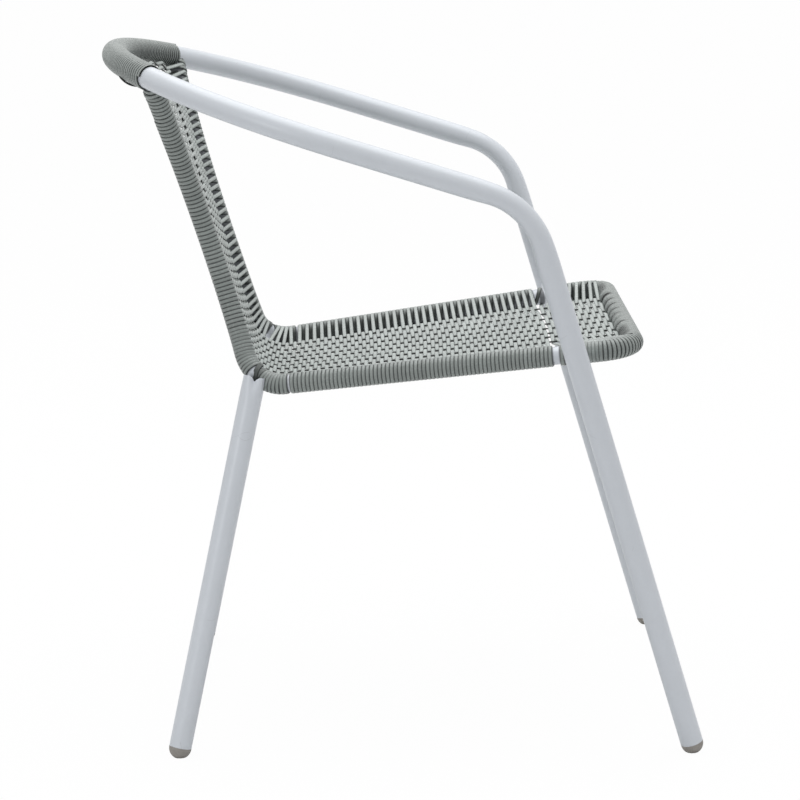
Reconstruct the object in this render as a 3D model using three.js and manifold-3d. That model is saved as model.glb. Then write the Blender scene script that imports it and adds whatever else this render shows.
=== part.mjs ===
// A rattan bistro chair: two bent metal tubes and two straight rear legs, with the seat and the
// back woven in one piece over the inner tube.
// Millimetres. +X is forward, +Y is the sitter's left, +Z is up, and the feet stand on Z = 0.
import * as THREE from 'three'
import * as BufferGeometryUtils from 'three/addons/utils/BufferGeometryUtils.js'
import Module from 'manifold-3d'

const wasm = await Module()
wasm.setup()

const degrees = THREE.MathUtils.degToRad

// Tubes
const armTubeRadius = 11.5
const frameTubeRadius = 9
const linkRadius = 8
const tubeWall = 1.2
const tubeSides = 12

// Arms, bow behind the back and front legs, which are one tube. The bow is a half circle, and it
// lies with both arms in one plane that falls to the front.
const bowRearX = -330.8
const bowRearHeight = 704.8
const bowRadius = 254.5
const armFall = degrees(18.33)
const armLength = 187
const armInset = 1.1
const armBendRadius = 80
const frontFootX = 249.5
const frontFootHalfSpacing = 228.6

// Seat frame. Its plane falls to the rear, and its sides close in to the rear.
const seatFrontX = 195.5
const seatFrontHeight = 412.5
const seatDepth = 387.6
const seatFall = degrees(6.19)
const seatFrontHalfSpacing = 189.7
const seatRearHalfSpacing = 135.6
const seatCornerRadius = 31.5
const rearBendRadius = 38

// Uprights of the back, drawn in to a waist that lies at a share of the back's height
const backTopHalfSpacing = 154
const waistHalfSpacing = 93.7
const waistShare = 0.423

// Rear legs, welded to the outer rear side of the frame's rear bends
const rearFootX = -278
const rearFootHalfSpacing = 208.5
const rearLegSetback = 4.6
const rearLegOutset = 13
const rearLegRise = 2

// Foot caps: a domed cap with a spigot in each leg's end, worn flat where it stands
const capContactRadius = 6.5
const capCollar = 0.8
const capSpigotLength = 16

// Synthetic rattan strand and how it is wound and woven
const strandWidth = 4
const strandThickness = 1.9
const strandsPerRidge = 3
const ridgeDepth = 0.7
const wrapSides = 8
const bowWrapHalfSpacing = 150
const shortWrapOntoRail = 4.2
const shortWrapIntoBend = 23
const rearBareGap = 3.1
const linkBareGap = 13
const frontWrapGap = 2.8
const uprightWrapIntoBend = 17
const bowedBackShare = 0.895

// Where the crossing strands part: the outermost lengthwise strand, as a share of the half spacing.
// The slots between them start at a share of the way from there to the tube.
const firstLengthwiseShare = 0.565
const slotStartShare = 0.25

const clearance = 0.3
const weaveClearance = 0.5

const uprightSteps = 9
const bendSteps = 7
const bowSteps = 24
const capSteps = 4
const weaveColumns = 6
const weaveSeatRows = 5
const weaveBackRows = 7
const weaveTopRows = 3
const halvingEnd = 0.001
const nearlyParallel = 0.1

const vector = (x, y, z) => new THREE.Vector3(x, y, z)
const mirrored = (point) => vector(point.x, -point.y, point.z)

// A route is a line of points with a frame at each: a direction, a side and an up that turn as
// little as they can from one point to the next.
class Route {
  constructor(points) {
    this.points = points
    this.distances = [0]
    for (let i = 1; i < points.length; i += 1) {
      this.distances.push(this.distances[i - 1] + points[i].distanceTo(points[i - 1]))
    }
    this.length = this.distances[points.length - 1]
    this.frames = []
    let side = null
    points.forEach((point, i) => {
      const before = points[Math.max(i - 1, 0)]
      const after = points[Math.min(i + 1, points.length - 1)]
      const back = point.clone().sub(before).normalize()
      const ahead = after.clone().sub(point).normalize()
      const along = back.add(ahead).normalize()
      if (side === null) side = vector(0, 1, 0).cross(along)
      if (side.lengthSq() < nearlyParallel) side = vector(0, 0, 1).cross(along)
      side = side.clone().addScaledVector(along, -side.dot(along)).normalize()
      this.frames.push({ centre: point, along, side, up: along.clone().cross(side) })
    })
  }

  at(distance) {
    const last = this.points.length - 1
    let i = 0
    while (i < last - 1 && this.distances[i + 1] <= distance) i += 1
    const share = (distance - this.distances[i]) / (this.distances[i + 1] - this.distances[i])
    const [a, b] = [this.frames[i], this.frames[i + 1]]
    const along = a.along.clone().lerp(b.along, share).normalize()
    const side = a.side.clone().lerp(b.side, share)
    side.addScaledVector(along, -side.dot(along)).normalize()
    return { centre: a.centre.clone().lerp(b.centre, share), along, side, up: along.clone().cross(side) }
  }

  // The part of the route between two distances, with its own points kept
  part(from, to) {
    const inner = this.points.filter((point, i) => (
      this.distances[i] > from + clearance && this.distances[i] < to - clearance))
    return new Route([this.at(from).centre, ...inner, this.at(to).centre])
  }
}

function around(frame, angle, radius) {
  return frame.centre.clone()
    .addScaledVector(frame.side, radius * Math.cos(angle))
    .addScaledVector(frame.up, radius * Math.sin(angle))
}

// The arc that rounds the corner between two straight runs, as points from run to run
function roundedCorner(before, corner, after, radius, steps) {
  const toBefore = before.clone().sub(corner).normalize()
  const toAfter = after.clone().sub(corner).normalize()
  const halfAngle = toBefore.angleTo(toAfter) / 2
  const inward = toBefore.clone().add(toAfter).normalize()
  const centre = corner.clone().addScaledVector(inward, radius / Math.sin(halfAngle))
  const start = corner.clone().addScaledVector(toBefore, radius / Math.tan(halfAngle)).sub(centre)
  const turn = Math.PI - 2 * halfAngle
  const axis = start.clone().cross(toBefore.clone().negate()).normalize()
  const points = []
  for (let i = 0; i <= steps; i += 1) {
    points.push(start.clone().applyAxisAngle(axis, turn * i / steps).add(centre))
  }
  return points
}

// Closed mesh from corner points and triangles
function meshGeometry(points, triangles) {
  const geometry = new THREE.BufferGeometry()
  const coordinates = points.flatMap((point) => point.toArray())
  geometry.setAttribute('position', new THREE.Float32BufferAttribute(coordinates, 3))
  geometry.setIndex(triangles.flat())
  return geometry
}

// A tube along a route, with a bore right through it where one is given
function tube(route, radius, bore = 0) {
  const points = []
  const triangles = []
  const ring = (frame, size) => {
    for (let j = 0; j < tubeSides; j += 1) points.push(around(frame, 2 * Math.PI * j / tubeSides, size))
    return points.length - tubeSides
  }
  const join = (a, b) => {
    for (let j = 0; j < tubeSides; j += 1) {
      const k = (j + 1) % tubeSides
      triangles.push([a + j, a + k, b + k], [a + j, b + k, b + j])
    }
  }
  const outer = route.frames.map((frame) => ring(frame, radius))
  const last = outer.length - 1
  for (let i = 0; i < last; i += 1) join(outer[i], outer[i + 1])
  if (bore > 0) {
    const inner = route.frames.map((frame) => ring(frame, bore))
    for (let i = 0; i < last; i += 1) join(inner[i + 1], inner[i])
    join(inner[0], outer[0])
    join(outer[last], inner[last])
  } else {
    points.push(route.frames[0].centre, route.frames[last].centre)
    const [first, final] = [points.length - 2, points.length - 1]
    for (let j = 0; j < tubeSides; j += 1) {
      const k = (j + 1) % tubeSides
      triangles.push([first, outer[0] + k, outer[0] + j], [final, outer[last] + j, outer[last] + k])
    }
  }
  return meshGeometry(points, triangles)
}

const crestOf = (tubeRadius) => (tubeRadius + strandThickness) / Math.cos(Math.PI / wrapSides)

// A wound sleeve round a tube: one ridge climbs it as an unbroken screw line. Each turn of the
// ridge stands for a few turns of strand.
function wrap(route, tubeRadius, from, to) {
  const bore = (tubeRadius + clearance) / Math.cos(Math.PI / wrapSides)
  const crest = crestOf(tubeRadius)
  const groove = crest - ridgeDepth
  const turns = Math.max(Math.round((to - from) / (strandWidth * strandsPerRidge)) - 1, 1)
  const pitch = (to - from) / (turns + 1)
  const points = []
  const triangles = []
  const point = (distance, step, radius) => {
    points.push(around(route.at(distance), 2 * Math.PI * step / wrapSides, radius))
    return points.length - 1
  }
  const ring = (distance, radius) => {
    const corners = []
    for (let j = 0; j < wrapSides; j += 1) corners.push(point(distance, j, radius))
    corners.push(corners[0])
    return corners
  }
  const quads = (a, b) => {
    for (let j = 0; j + 1 < a.length; j += 1) {
      triangles.push([a[j], a[j + 1], b[j + 1]], [a[j], b[j + 1], b[j]])
    }
  }
  const lead = pitch / 4
  const crests = []
  const grooves = []
  for (let n = 0; n <= turns * wrapSides; n += 1) {
    const distance = from + lead + pitch * n / wrapSides
    crests.push(point(distance, n, crest))
    grooves.push(point(distance + pitch / 2, n, groove))
  }
  const start = ring(from, groove)
  const end = ring(to, groove)
  quads(start, crests.slice(0, wrapSides + 1))
  triangles.push([start[0], crests[0], grooves[0]], [start[0], grooves[0], crests[wrapSides]])
  quads(crests, grooves)
  quads(grooves.slice(0, -wrapSides), crests.slice(wrapSides))
  quads(grooves.slice(-wrapSides - 1), end)
  const last = turns * wrapSides
  triangles.push([end[0], grooves[last], crests[last]], [end[0], crests[last], grooves[last - wrapSides]])
  const stops = route.distances.filter((d) => d > from + clearance && d < to - clearance)
  const bores = [from, ...stops, to].map((distance) => ring(distance, bore))
  for (let i = 0; i + 1 < bores.length; i += 1) quads(bores[i + 1], bores[i])
  quads(bores[0], start)
  quads(end, bores[bores.length - 1])
  return meshGeometry(points, triangles)
}

function solid(geometry) {
  const bare = geometry.clone()
  bare.deleteAttribute('normal')
  bare.deleteAttribute('uv')
  const merged = BufferGeometryUtils.mergeVertices(bare)
  const corners = merged.index.array
  const kept = []
  for (let i = 0; i < corners.length; i += 3) {
    const [a, b, c] = [corners[i], corners[i + 1], corners[i + 2]]
    if (a !== b && b !== c && c !== a) kept.push(a, b, c)
  }
  return new wasm.Manifold(new wasm.Mesh({
    numProp: 3,
    vertProperties: merged.attributes.position.array,
    triVerts: Uint32Array.from(kept),
  }))
}

function flip(geometry) {
  const other = geometry.clone().scale(1, -1, 1)
  const index = other.index.array
  for (let i = 0; i < index.length; i += 3) [index[i], index[i + 1]] = [index[i + 1], index[i]]
  return other
}

// What is left of a shape once the others are taken away from it
function cut(geometry, ...cutters) {
  const rest = cutters.reduce((piece, cutter) => piece.subtract(solid(cutter)), solid(geometry))
  const mesh = rest.getMesh()
  const result = new THREE.BufferGeometry()
  result.setAttribute('position', new THREE.BufferAttribute(mesh.vertProperties, mesh.numProp))
  result.setIndex(new THREE.BufferAttribute(mesh.triVerts, 1))
  return result
}

// Bow, arms and front legs
const armDirection = vector(Math.cos(armFall), 0, -Math.sin(armFall))
const bowCentre = vector(bowRearX, 0, bowRearHeight).addScaledVector(armDirection, bowRadius)

function bowPoint(halfSpacing) {
  const back = Math.sqrt(bowRadius ** 2 - halfSpacing ** 2)
  return bowCentre.clone().addScaledVector(armDirection, -back).setY(halfSpacing)
}

function distanceToBow(point) {
  const offset = point.clone().sub(bowCentre)
  const forward = offset.dot(armDirection)
  const rise = offset.dot(vector(Math.sin(armFall), 0, Math.cos(armFall)))
  return Math.hypot(Math.hypot(forward, offset.y) - bowRadius, rise)
}

const armCorner = bowCentre.clone().addScaledVector(armDirection, armLength).setY(bowRadius - armInset)
const frontFloorPoint = vector(frontFootX, frontFootHalfSpacing, 0)
const frontLegUp = armCorner.clone().sub(frontFloorPoint).normalize()
const capDomeHeight = Math.sqrt(armTubeRadius ** 2 - capContactRadius ** 2)

function legEnd(floorPoint, up) {
  return floorPoint.clone().addScaledVector(up, capDomeHeight / up.z + capCollar + clearance)
}

function armRoute() {
  const bowEnd = bowCentre.clone().setY(bowRadius)
  const leftArm = [
    legEnd(frontFloorPoint, frontLegUp),
    ...roundedCorner(frontFloorPoint, armCorner, bowEnd, armBendRadius, bendSteps),
  ]
  const bow = []
  for (let i = 0; i <= bowSteps; i += 1) {
    const angle = Math.PI * i / bowSteps
    bow.push(bowCentre.clone()
      .addScaledVector(armDirection, -bowRadius * Math.sin(angle))
      .setY(bowRadius * Math.cos(angle)))
  }
  return new Route([...leftArm, ...bow, ...leftArm.map(mirrored).reverse()])
}

const arms = armRoute()
const boreOf = (radius) => radius - tubeWall

// Seat and back frame: the left half from the top of its upright to the middle of the front rail
const seatForward = vector(Math.cos(seatFall), 0, Math.sin(seatFall))
const rearCornerX = seatFrontX - seatDepth
const rearCornerHeight = seatFrontHeight - seatDepth * Math.tan(seatFall)
const uprightTop = bowPoint(backTopHalfSpacing)
const backHeight = uprightTop.z - rearCornerHeight
const waistHeight = rearCornerHeight + waistShare * backHeight
const bowedBackHeight = rearCornerHeight + bowedBackShare * backHeight

function railPoint(x) {
  const share = (seatFrontX - x) / seatDepth
  const halfSpacing = seatFrontHalfSpacing + (seatRearHalfSpacing - seatFrontHalfSpacing) * share
  return vector(x, halfSpacing, seatFrontHeight + (x - seatFrontX) * Math.tan(seatFall))
}

function uprightPoint(height) {
  const share = (height - rearCornerHeight) / backHeight
  const fromWaist = (height - waistHeight) / (uprightTop.z - waistHeight)
  const halfSpacing = waistHalfSpacing + (backTopHalfSpacing - waistHalfSpacing) * fromWaist ** 2
  return vector(rearCornerX + (uprightTop.x - rearCornerX) * share, halfSpacing, height)
}

// The rear bend is an arc in side view, and its spacing runs smoothly from rail to upright
function rearBend() {
  const corner = vector(rearCornerX, 0, rearCornerHeight)
  const up = vector(uprightTop.x, 0, uprightTop.z)
  const arc = roundedCorner(up, corner, corner.clone().add(seatForward), rearBendRadius, bendSteps)
  const [top, bottom] = [arc[0], arc[bendSteps]]
  const length = rearBendRadius * (Math.PI - up.sub(corner).angleTo(seatForward))
  const probe = clearance
  const topSlope = (uprightPoint(top.z).y - uprightPoint(top.z + probe).y) / probe * length
  const railSlope = (railPoint(bottom.x + probe).y - railPoint(bottom.x).y) / probe * length
  const [a, b] = [uprightPoint(top.z).y, railPoint(bottom.x).y]
  return arc.map((point, i) => {
    const t = i / bendSteps
    const halfSpacing = a * (2 * t ** 3 - 3 * t ** 2 + 1) + topSlope * (t ** 3 - 2 * t ** 2 + t)
      + b * (3 * t ** 2 - 2 * t ** 3) + railSlope * (t ** 3 - t ** 2)
    return point.clone().setY(halfSpacing)
  })
}

const bend = rearBend()
const upright = []
for (let i = 0; i < uprightSteps; i += 1) {
  upright.push(uprightPoint(uprightTop.z + (bend[0].z - uprightTop.z) * i / uprightSteps))
}
const frontCorner = railPoint(seatFrontX)
const corner = roundedCorner(
  railPoint(rearCornerX), frontCorner, mirrored(frontCorner), seatCornerRadius, bendSteps)
const leftHalf = [...upright, ...bend, ...corner]
const frame = new Route([...leftHalf, ...leftHalf.map(mirrored).reverse()])
const bendTopDistance = frame.distances[upright.length]
const bendBottomDistance = frame.distances[upright.length + bendSteps]

function distanceOnRail(x) {
  const start = frame.points[upright.length + bendSteps]
  return bendBottomDistance + start.distanceTo(railPoint(x))
}

// Space that each tube and winding keeps from the others
const armSpace = tube(arms, armTubeRadius + clearance)
const frameSpace = tube(frame, frameTubeRadius + clearance)

// Where the front leg passes the seat rail in side view
const legLean = frontLegUp.x / frontLegUp.z
const linkX = (frontFootX + legLean * railPoint(0).z) / (1 - legLean * Math.tan(seatFall))
const linkRailPoint = railPoint(linkX)
const linkLegPoint = frontFloorPoint.clone().addScaledVector(frontLegUp, linkRailPoint.z / frontLegUp.z)

// Rear legs
const bendMiddle = frame.at((bendTopDistance + bendBottomDistance) / 2).centre
const rearWeld = bendMiddle.clone().add(vector(-rearLegSetback, rearLegOutset, 0))
const rearFloorPoint = vector(rearFootX, rearFootHalfSpacing, 0)
const rearLegUp = rearWeld.clone().sub(rearFloorPoint).normalize()

const rearLeg = new Route([
  legEnd(rearFloorPoint, rearLegUp),
  rearWeld.clone().addScaledVector(rearLegUp, rearLegRise),
])
const rearLegSpace = tube(rearLeg, armTubeRadius + clearance)

// The cap's dome has its centre on the leg's axis, and the floor cuts its lowest part away
function footCap(floorPoint, up) {
  const spigotRadius = boreOf(armTubeRadius) * Math.cos(Math.PI / tubeSides) - clearance
  const spigotTop = capCollar + clearance + capSpigotLength
  const profile = []
  for (let i = 0; i <= capSteps; i += 1) {
    const angle = Math.PI / 2 * i / capSteps
    profile.push(new THREE.Vector2(armTubeRadius * Math.sin(angle), -armTubeRadius * Math.cos(angle)))
  }
  profile.push(
    new THREE.Vector2(armTubeRadius, capCollar),
    new THREE.Vector2(spigotRadius, capCollar),
    new THREE.Vector2(spigotRadius, spigotTop),
    new THREE.Vector2(0, spigotTop),
  )
  const cap = new THREE.LatheGeometry(profile, tubeSides)
  cap.applyQuaternion(new THREE.Quaternion().setFromUnitVectors(vector(0, 1, 0), up))
  const centre = floorPoint.clone().addScaledVector(up, capDomeHeight / up.z)
  cap.translate(centre.x, centre.y, centre.z)
  const blockSize = 4 * armTubeRadius
  const underFloor = new THREE.BoxGeometry(blockSize, blockSize, blockSize)
  underFloor.translate(centre.x, centre.y, -blockSize / 2)
  return cut(cap, underFloor)
}

// Windings, by their distances along the left half of the frame
const frameWrapCrest = crestOf(frameTubeRadius)
const bowWrapCrest = crestOf(armTubeRadius)
const frontWrapStart = distanceOnRail(linkX + linkRadius + frontWrapGap)
const railWrapStart = bendBottomDistance + shortWrapOntoRail + rearBareGap
const railWrapEnd = distanceOnRail(linkX - linkRadius - linkBareGap)
const bowWrapReach = bowRadius * Math.asin(bowWrapHalfSpacing / bowRadius)
const bowWrapFrom = arms.length / 2 - bowWrapReach
const bowWrapTo = arms.length / 2 + bowWrapReach
const bowWrapSpace = tube(arms.part(bowWrapFrom, bowWrapTo), bowWrapCrest + clearance)

const frameWrap = (from, to) => wrap(frame, frameTubeRadius, from, to)

// The woven sheet, from the front rail over the seat, up the back and to the bow. Near its top it is
// drawn back to the bow's curve. Between the outermost lengthwise strands it is one layer. From
// there on the crossing strands part, every second one to the front or top of the tube and the
// others to its rear or underside, so both edges of the sheet are forked.
const seatNormal = vector(-Math.sin(seatFall), 0, Math.cos(seatFall))
const backRise = vector(uprightTop.x - rearCornerX, 0, backHeight).normalize()
const backNormal = vector(backRise.z, 0, -backRise.x)

function weaveRows() {
  const rows = []
  const frontX = seatFrontX - (frameWrapCrest + weaveClearance) / Math.cos(seatFall)
  const bendX = bend[bendSteps].x
  for (let i = 0; i < weaveSeatRows; i += 1) {
    rows.push(railPoint(frontX + (bendX - frontX) * i / weaveSeatRows))
  }
  for (let i = bendSteps; i > 0; i -= 1) rows.push(bend[i])
  const bendTop = bend[0].z
  for (let i = 0; i < weaveBackRows; i += 1) {
    rows.push(uprightPoint(bendTop + (bowedBackHeight - bendTop) * i / weaveBackRows))
  }
  return rows
}

const pullAt = (height) => Math.max((height - bowedBackHeight) / (uprightTop.z - bowedBackHeight), 0)

// A place on the sheet's middle, at a share of the half spacing of the frame's point
function onSheet(point, share) {
  const drawn = bowPoint(share * backTopHalfSpacing).sub(uprightTop).multiplyScalar(pullAt(point.z) ** 2)
  return vector(point.x + drawn.x, share * point.y, point.z + drawn.z)
}

// How high the frame's point is where the sheet, at a share, comes near the bow's winding
function topHeight(share) {
  let [low, high] = [0, 1]
  const heightAt = (rise) => bowedBackHeight + (uprightTop.z - bowedBackHeight) * rise
  while (high - low > halvingEnd) {
    const middle = (low + high) / 2
    const space = distanceToBow(onSheet(uprightPoint(heightAt(middle)), share))
    if (space > bowWrapCrest + weaveClearance + strandThickness) low = middle
    else high = middle
  }
  return heightAt(low)
}

// One tine of the fork goes straight from a base point to a height over the tube's middle. It ends
// where it comes near the winding, whose section is an ellipse where the tube runs slanting.
function tineEnd(base, tubePoint, slope, normal, height) {
  const target = tubePoint.clone().addScaledVector(normal, height)
  const stretch = Math.hypot(1, slope)
  const flat = (way) => new THREE.Vector2(way.y / stretch, way.dot(normal))
  const start = flat(base.clone().sub(tubePoint))
  const way = flat(target.clone().sub(base))
  const reach = frameWrapCrest + weaveClearance
  const half = start.dot(way)
  const root = Math.sqrt(half ** 2 - way.lengthSq() * (start.lengthSq() - reach ** 2))
  return base.clone().lerp(target, (-half - root) / way.lengthSq())
}

// The section's corners, once round: over the top from right to left, round the left fork, back
// under the sheet, and round the right fork
function weaveSection(points, tubePoints, slope, normal, faceNormals) {
  const left = points.length - 1
  const side = (j) => (j === 0 ? 0 : 1)
  const surface = (j, sign) => points[j].clone().addScaledVector(faceNormals[j], sign * strandThickness)
  const tine = (j, sign, inner) => {
    const base = inner ? points[j] : surface(j, sign)
    const height = sign * (frameTubeRadius + (inner ? 0 : strandThickness))
    return tineEnd(base, tubePoints[side(j)], slope, normal, height)
  }
  const order = points.map((point, j) => j)
  return [
    tine(0, 1, false), ...order.map((j) => surface(j, 1)), tine(left, 1, false),
    tine(left, 1, true), points[left], tine(left, -1, true),
    tine(left, -1, false), ...order.reverse().map((j) => surface(j, -1)), tine(0, -1, false),
    tine(0, -1, true), points[0], tine(0, 1, true),
  ]
}

// Cutters for the slots between groups of crossing strands, the upper tines' half a pitch from the
// lower ones'. Each group stands for as many strands as a ridge of the windings.
function slots() {
  const width = strandWidth * strandsPerRidge
  const thickness = 2 * strandThickness
  const cutters = []
  const addSlot = (tubePoint, normal, sign) => {
    const base = onSheet(tubePoint, firstLengthwiseShare)
      .addScaledVector(normal, sign * strandThickness / 2)
    const middle = frameTubeRadius + strandThickness / 2
    const target = tubePoint.clone().addScaledVector(normal, sign * middle)
    const start = base.clone().lerp(target, slotStartShare)
    const across = target.clone().sub(start)
    const slot = new THREE.BoxGeometry(across.length(), width, thickness)
    const ahead = normal.clone().cross(across).normalize()
    const up = across.clone().normalize().cross(ahead)
    const basis = new THREE.Matrix4().makeBasis(across.clone().normalize(), ahead, up)
    slot.applyMatrix4(basis.setPosition(start.clone().lerp(target, 1 / 2)))
    cutters.push(slot, flip(slot))
  }
  const addSlots = (length, tubePointAt, normal) => {
    const count = Math.floor(length / (2 * width))
    for (let i = 0; i < count; i += 1) {
      addSlot(tubePointAt((i + 1 / 4) / count), normal, 1)
      addSlot(tubePointAt((i + 3 / 4) / count), normal, -1)
    }
  }
  const seatEnd = bend[bendSteps].x
  const seatStart = linkX + linkRadius + frontWrapGap
  const railAt = (share) => railPoint(seatStart + (seatEnd - seatStart) * share)
  addSlots(seatStart - seatEnd, railAt, seatNormal)
  const backStart = bend[0].z
  const backEnd = topHeight(1)
  const uprightAt = (share) => uprightPoint(backStart + (backEnd - backStart) * share)
  addSlots(backEnd - backStart, uprightAt, backNormal)
  return cutters
}

function weave() {
  const shares = []
  for (let j = 0; j <= weaveColumns; j += 1) shares.push(firstLengthwiseShare * (2 * j / weaveColumns - 1))
  const rows = weaveRows()
  const frameRows = rows.map((point) => [...shares.map(() => point), point])
  const tops = [...shares.map(topHeight), topHeight(1)]
  for (let i = 0; i <= weaveTopRows; i += 1) {
    const heights = tops.map((top) => bowedBackHeight + (top - bowedBackHeight) * i / weaveTopRows)
    frameRows.push(heights.map(uprightPoint))
  }
  const grid = frameRows.map((row) => shares.map((share, j) => onSheet(row[j], share)))
  const edge = frameRows.map((row) => row[shares.length])
  const last = grid.length - 1

  const points = []
  grid.forEach((row, i) => {
    const [before, after] = [Math.max(i - 1, 0), Math.min(i + 1, last)]
    const ahead = edge[after].clone().sub(edge[before])
    const slope = ahead.y / Math.hypot(ahead.x, ahead.z)
    const normal = vector(0, 1, 0).cross(ahead).normalize()
    const faceNormals = row.map((point, j) => {
      const across = row[Math.min(j + 1, weaveColumns)].clone().sub(row[Math.max(j - 1, 0)])
      return across.cross(grid[after][j].clone().sub(grid[before][j])).normalize()
    })
    points.push(...weaveSection(row, [mirrored(edge[i]), edge[i]], slope, normal, faceNormals))
  })

  const size = points.length / grid.length
  const triangles = []
  const quad = (a, b, c, d) => triangles.push([a, b, c], [a, c, d])
  for (let i = 0; i < last; i += 1) {
    for (let j = 0; j < size; j += 1) {
      const [a, b] = [i * size + j, i * size + (j + 1) % size]
      quad(a, b, b + size, a + size)
    }
  }
  for (const [first, flipped] of [[0, true], [last * size, false]]) {
    const face = (...corners) => {
      const [a, b, c] = corners.map((corner) => first + corner)
      triangles.push(flipped ? [a, c, b] : [a, b, c])
    }
    capTriangles(size).forEach((corners) => face(...corners))
  }
  const frontWrapRoute = frame.part(frontWrapStart, frame.length - frontWrapStart)
  const frontSpace = tube(frontWrapRoute, frameWrapCrest + weaveClearance / 2)
  return cut(meshGeometry(points, triangles), frontSpace, ...slots())
}

// Triangles that close a section: both tines of each fork, and the cells of the single layer. The
// outermost cells have a fork's root as a fifth corner.
function capTriangles(size) {
  const [left, right] = [weaveColumns + 1, 1]
  const under = (column) => size - 4 - column
  const [leftRoot, rightRoot] = [left + 3, size - 2]
  const triangles = [
    [0, right, rightRoot], [0, rightRoot, size - 1],
    [size - 3, rightRoot, under(right)], [size - 3, under(right), size - 4],
    [left, left + 1, left + 2], [left, left + 2, leftRoot],
    [leftRoot, left + 4, left + 5], [leftRoot, left + 5, under(left)],
    [right, right + 1, rightRoot], [right + 1, under(right + 1), rightRoot],
    [under(right + 1), under(right), rightRoot],
    [left - 1, left, leftRoot], [left - 1, leftRoot, under(left - 1)],
    [leftRoot, under(left), under(left - 1)],
  ]
  for (let j = right + 1; j < left - 1; j += 1) {
    triangles.push([j, j + 1, under(j + 1)], [j, under(j + 1), under(j)])
  }
  return triangles
}

const metal = new THREE.MeshStandardMaterial({ color: 0xc3c8d0, roughness: 0.32, metalness: 0.5 })
const strand = new THREE.MeshStandardMaterial({ color: 0x8d9693, roughness: 0.5, metalness: 0 })
const plastic = new THREE.MeshStandardMaterial({ color: 0x8c8882, roughness: 0.6, metalness: 0 })

const chair = new THREE.Group()

function add(name, geometry, material) {
  geometry.computeVertexNormals()
  const mesh = new THREE.Mesh(geometry, material)
  mesh.name = name
  chair.add(mesh)
}

function addPair(name, makeLeft, material) {
  const left = makeLeft()
  add(`left_${name}`, left, material)
  add(`right_${name}`, flip(left), material)
}

add('arm_and_front_leg_tube', tube(arms, armTubeRadius, boreOf(armTubeRadius)), metal)
add('seat_and_back_frame_tube', cut(tube(frame, frameTubeRadius, boreOf(frameTubeRadius)), armSpace), metal)
addPair('rear_leg_tube', () => cut(tube(rearLeg, armTubeRadius, boreOf(armTubeRadius)), frameSpace), metal)
const linkRoute = new Route([linkRailPoint, linkLegPoint])
addPair('seat_link', () => cut(
  tube(linkRoute, linkRadius, boreOf(linkRadius)), armSpace, frameSpace), metal)
addPair('front_foot_cap', () => footCap(frontFloorPoint, frontLegUp), plastic)
addPair('rear_foot_cap', () => footCap(rearFloorPoint, rearLegUp), plastic)
add('bow_winding', cut(wrap(arms, armTubeRadius, bowWrapFrom, bowWrapTo), frameSpace), strand)
addPair('upright_winding', () => cut(
  frameWrap(bowWrapCrest, bendTopDistance + uprightWrapIntoBend), bowWrapSpace, rearLegSpace), strand)
addPair('short_rail_winding', () => cut(
  frameWrap(bendBottomDistance - shortWrapIntoBend, bendBottomDistance + shortWrapOntoRail),
  rearLegSpace), strand)
addPair('seat_rail_winding', () => frameWrap(railWrapStart, railWrapEnd), strand)
add('front_rail_winding', frameWrap(frontWrapStart, frame.length - frontWrapStart), strand)
add('woven_seat_and_back', weave(), strand)

// The origin is under the middle of the chair
const box = new THREE.Box3().setFromObject(chair)
chair.position.x = -(box.min.x + box.max.x) / 2

export default chair
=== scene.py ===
"""The chair's looks: smooth bent tubes with welds and caps, the wound and woven strand, and the
floor, lights and camera. Lengths are millimetres in the chair's own coordinates, with +X forward,
+Y the sitter's left and the floor at Z = 0. in_frame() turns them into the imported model's metres."""
import math
import bpy
import numpy as np
from mathutils import Matrix, Vector


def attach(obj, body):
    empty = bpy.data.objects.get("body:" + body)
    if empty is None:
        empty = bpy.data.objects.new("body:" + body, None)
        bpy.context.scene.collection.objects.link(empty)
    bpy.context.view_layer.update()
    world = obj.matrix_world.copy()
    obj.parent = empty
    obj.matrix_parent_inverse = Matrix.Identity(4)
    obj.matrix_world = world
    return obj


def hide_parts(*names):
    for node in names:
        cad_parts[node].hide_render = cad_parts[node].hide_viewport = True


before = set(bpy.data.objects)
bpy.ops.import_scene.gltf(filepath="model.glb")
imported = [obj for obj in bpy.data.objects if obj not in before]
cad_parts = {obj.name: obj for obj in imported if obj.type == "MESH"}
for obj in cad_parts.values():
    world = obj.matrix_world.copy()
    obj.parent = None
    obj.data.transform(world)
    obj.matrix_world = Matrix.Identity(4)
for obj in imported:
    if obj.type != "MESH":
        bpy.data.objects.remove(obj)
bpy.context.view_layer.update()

METRES = 0.001
FRAME_SHIFT = 43.388
MIRROR = np.array([1.0, -1.0, 1.0])
BOTH_SIDES = {1: np.ones(3), -1: MIRROR}
X, Y, Z = np.eye(3)

# Tubes
ARM_RADIUS = 11.5
SEAT_TUBE_RADIUS = 9.0
LINK_RADIUS = 8.0
TUBE_WALL = 1.2
BOW_REAR_X = -330.8
BOW_REAR_HEIGHT = 704.8
BOW_RADIUS = 254.5
ARM_FALL = math.radians(18.33)
ARM_LENGTH = 187.0
ARM_INSET = 1.1
ARM_BEND_RADIUS = 80.0
ARM_BEND_FLATTENING = 0.1
ARM_FLATTENING_REACH = 0.55
ARM_FACE_RAMP = (100.0, 144.5)
FRONT_FOOT = np.array([249.5, 228.6, 0.0])
SEAT_FRONT_X = 195.5
SEAT_FRONT_HEIGHT = 412.5
SEAT_DEPTH = 387.6
SEAT_FALL = math.radians(6.19)
SEAT_FRONT_SPACING = 189.7
SEAT_REAR_SPACING = 135.6
SEAT_CORNER_RADIUS = 31.5
REAR_BEND_RADIUS = 38.0
BACK_TOP_SPACING = 154.0
WAIST_SPACING = 93.7
WAIST_SHARE = 0.423
BOWED_SHARE = 0.895
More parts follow.
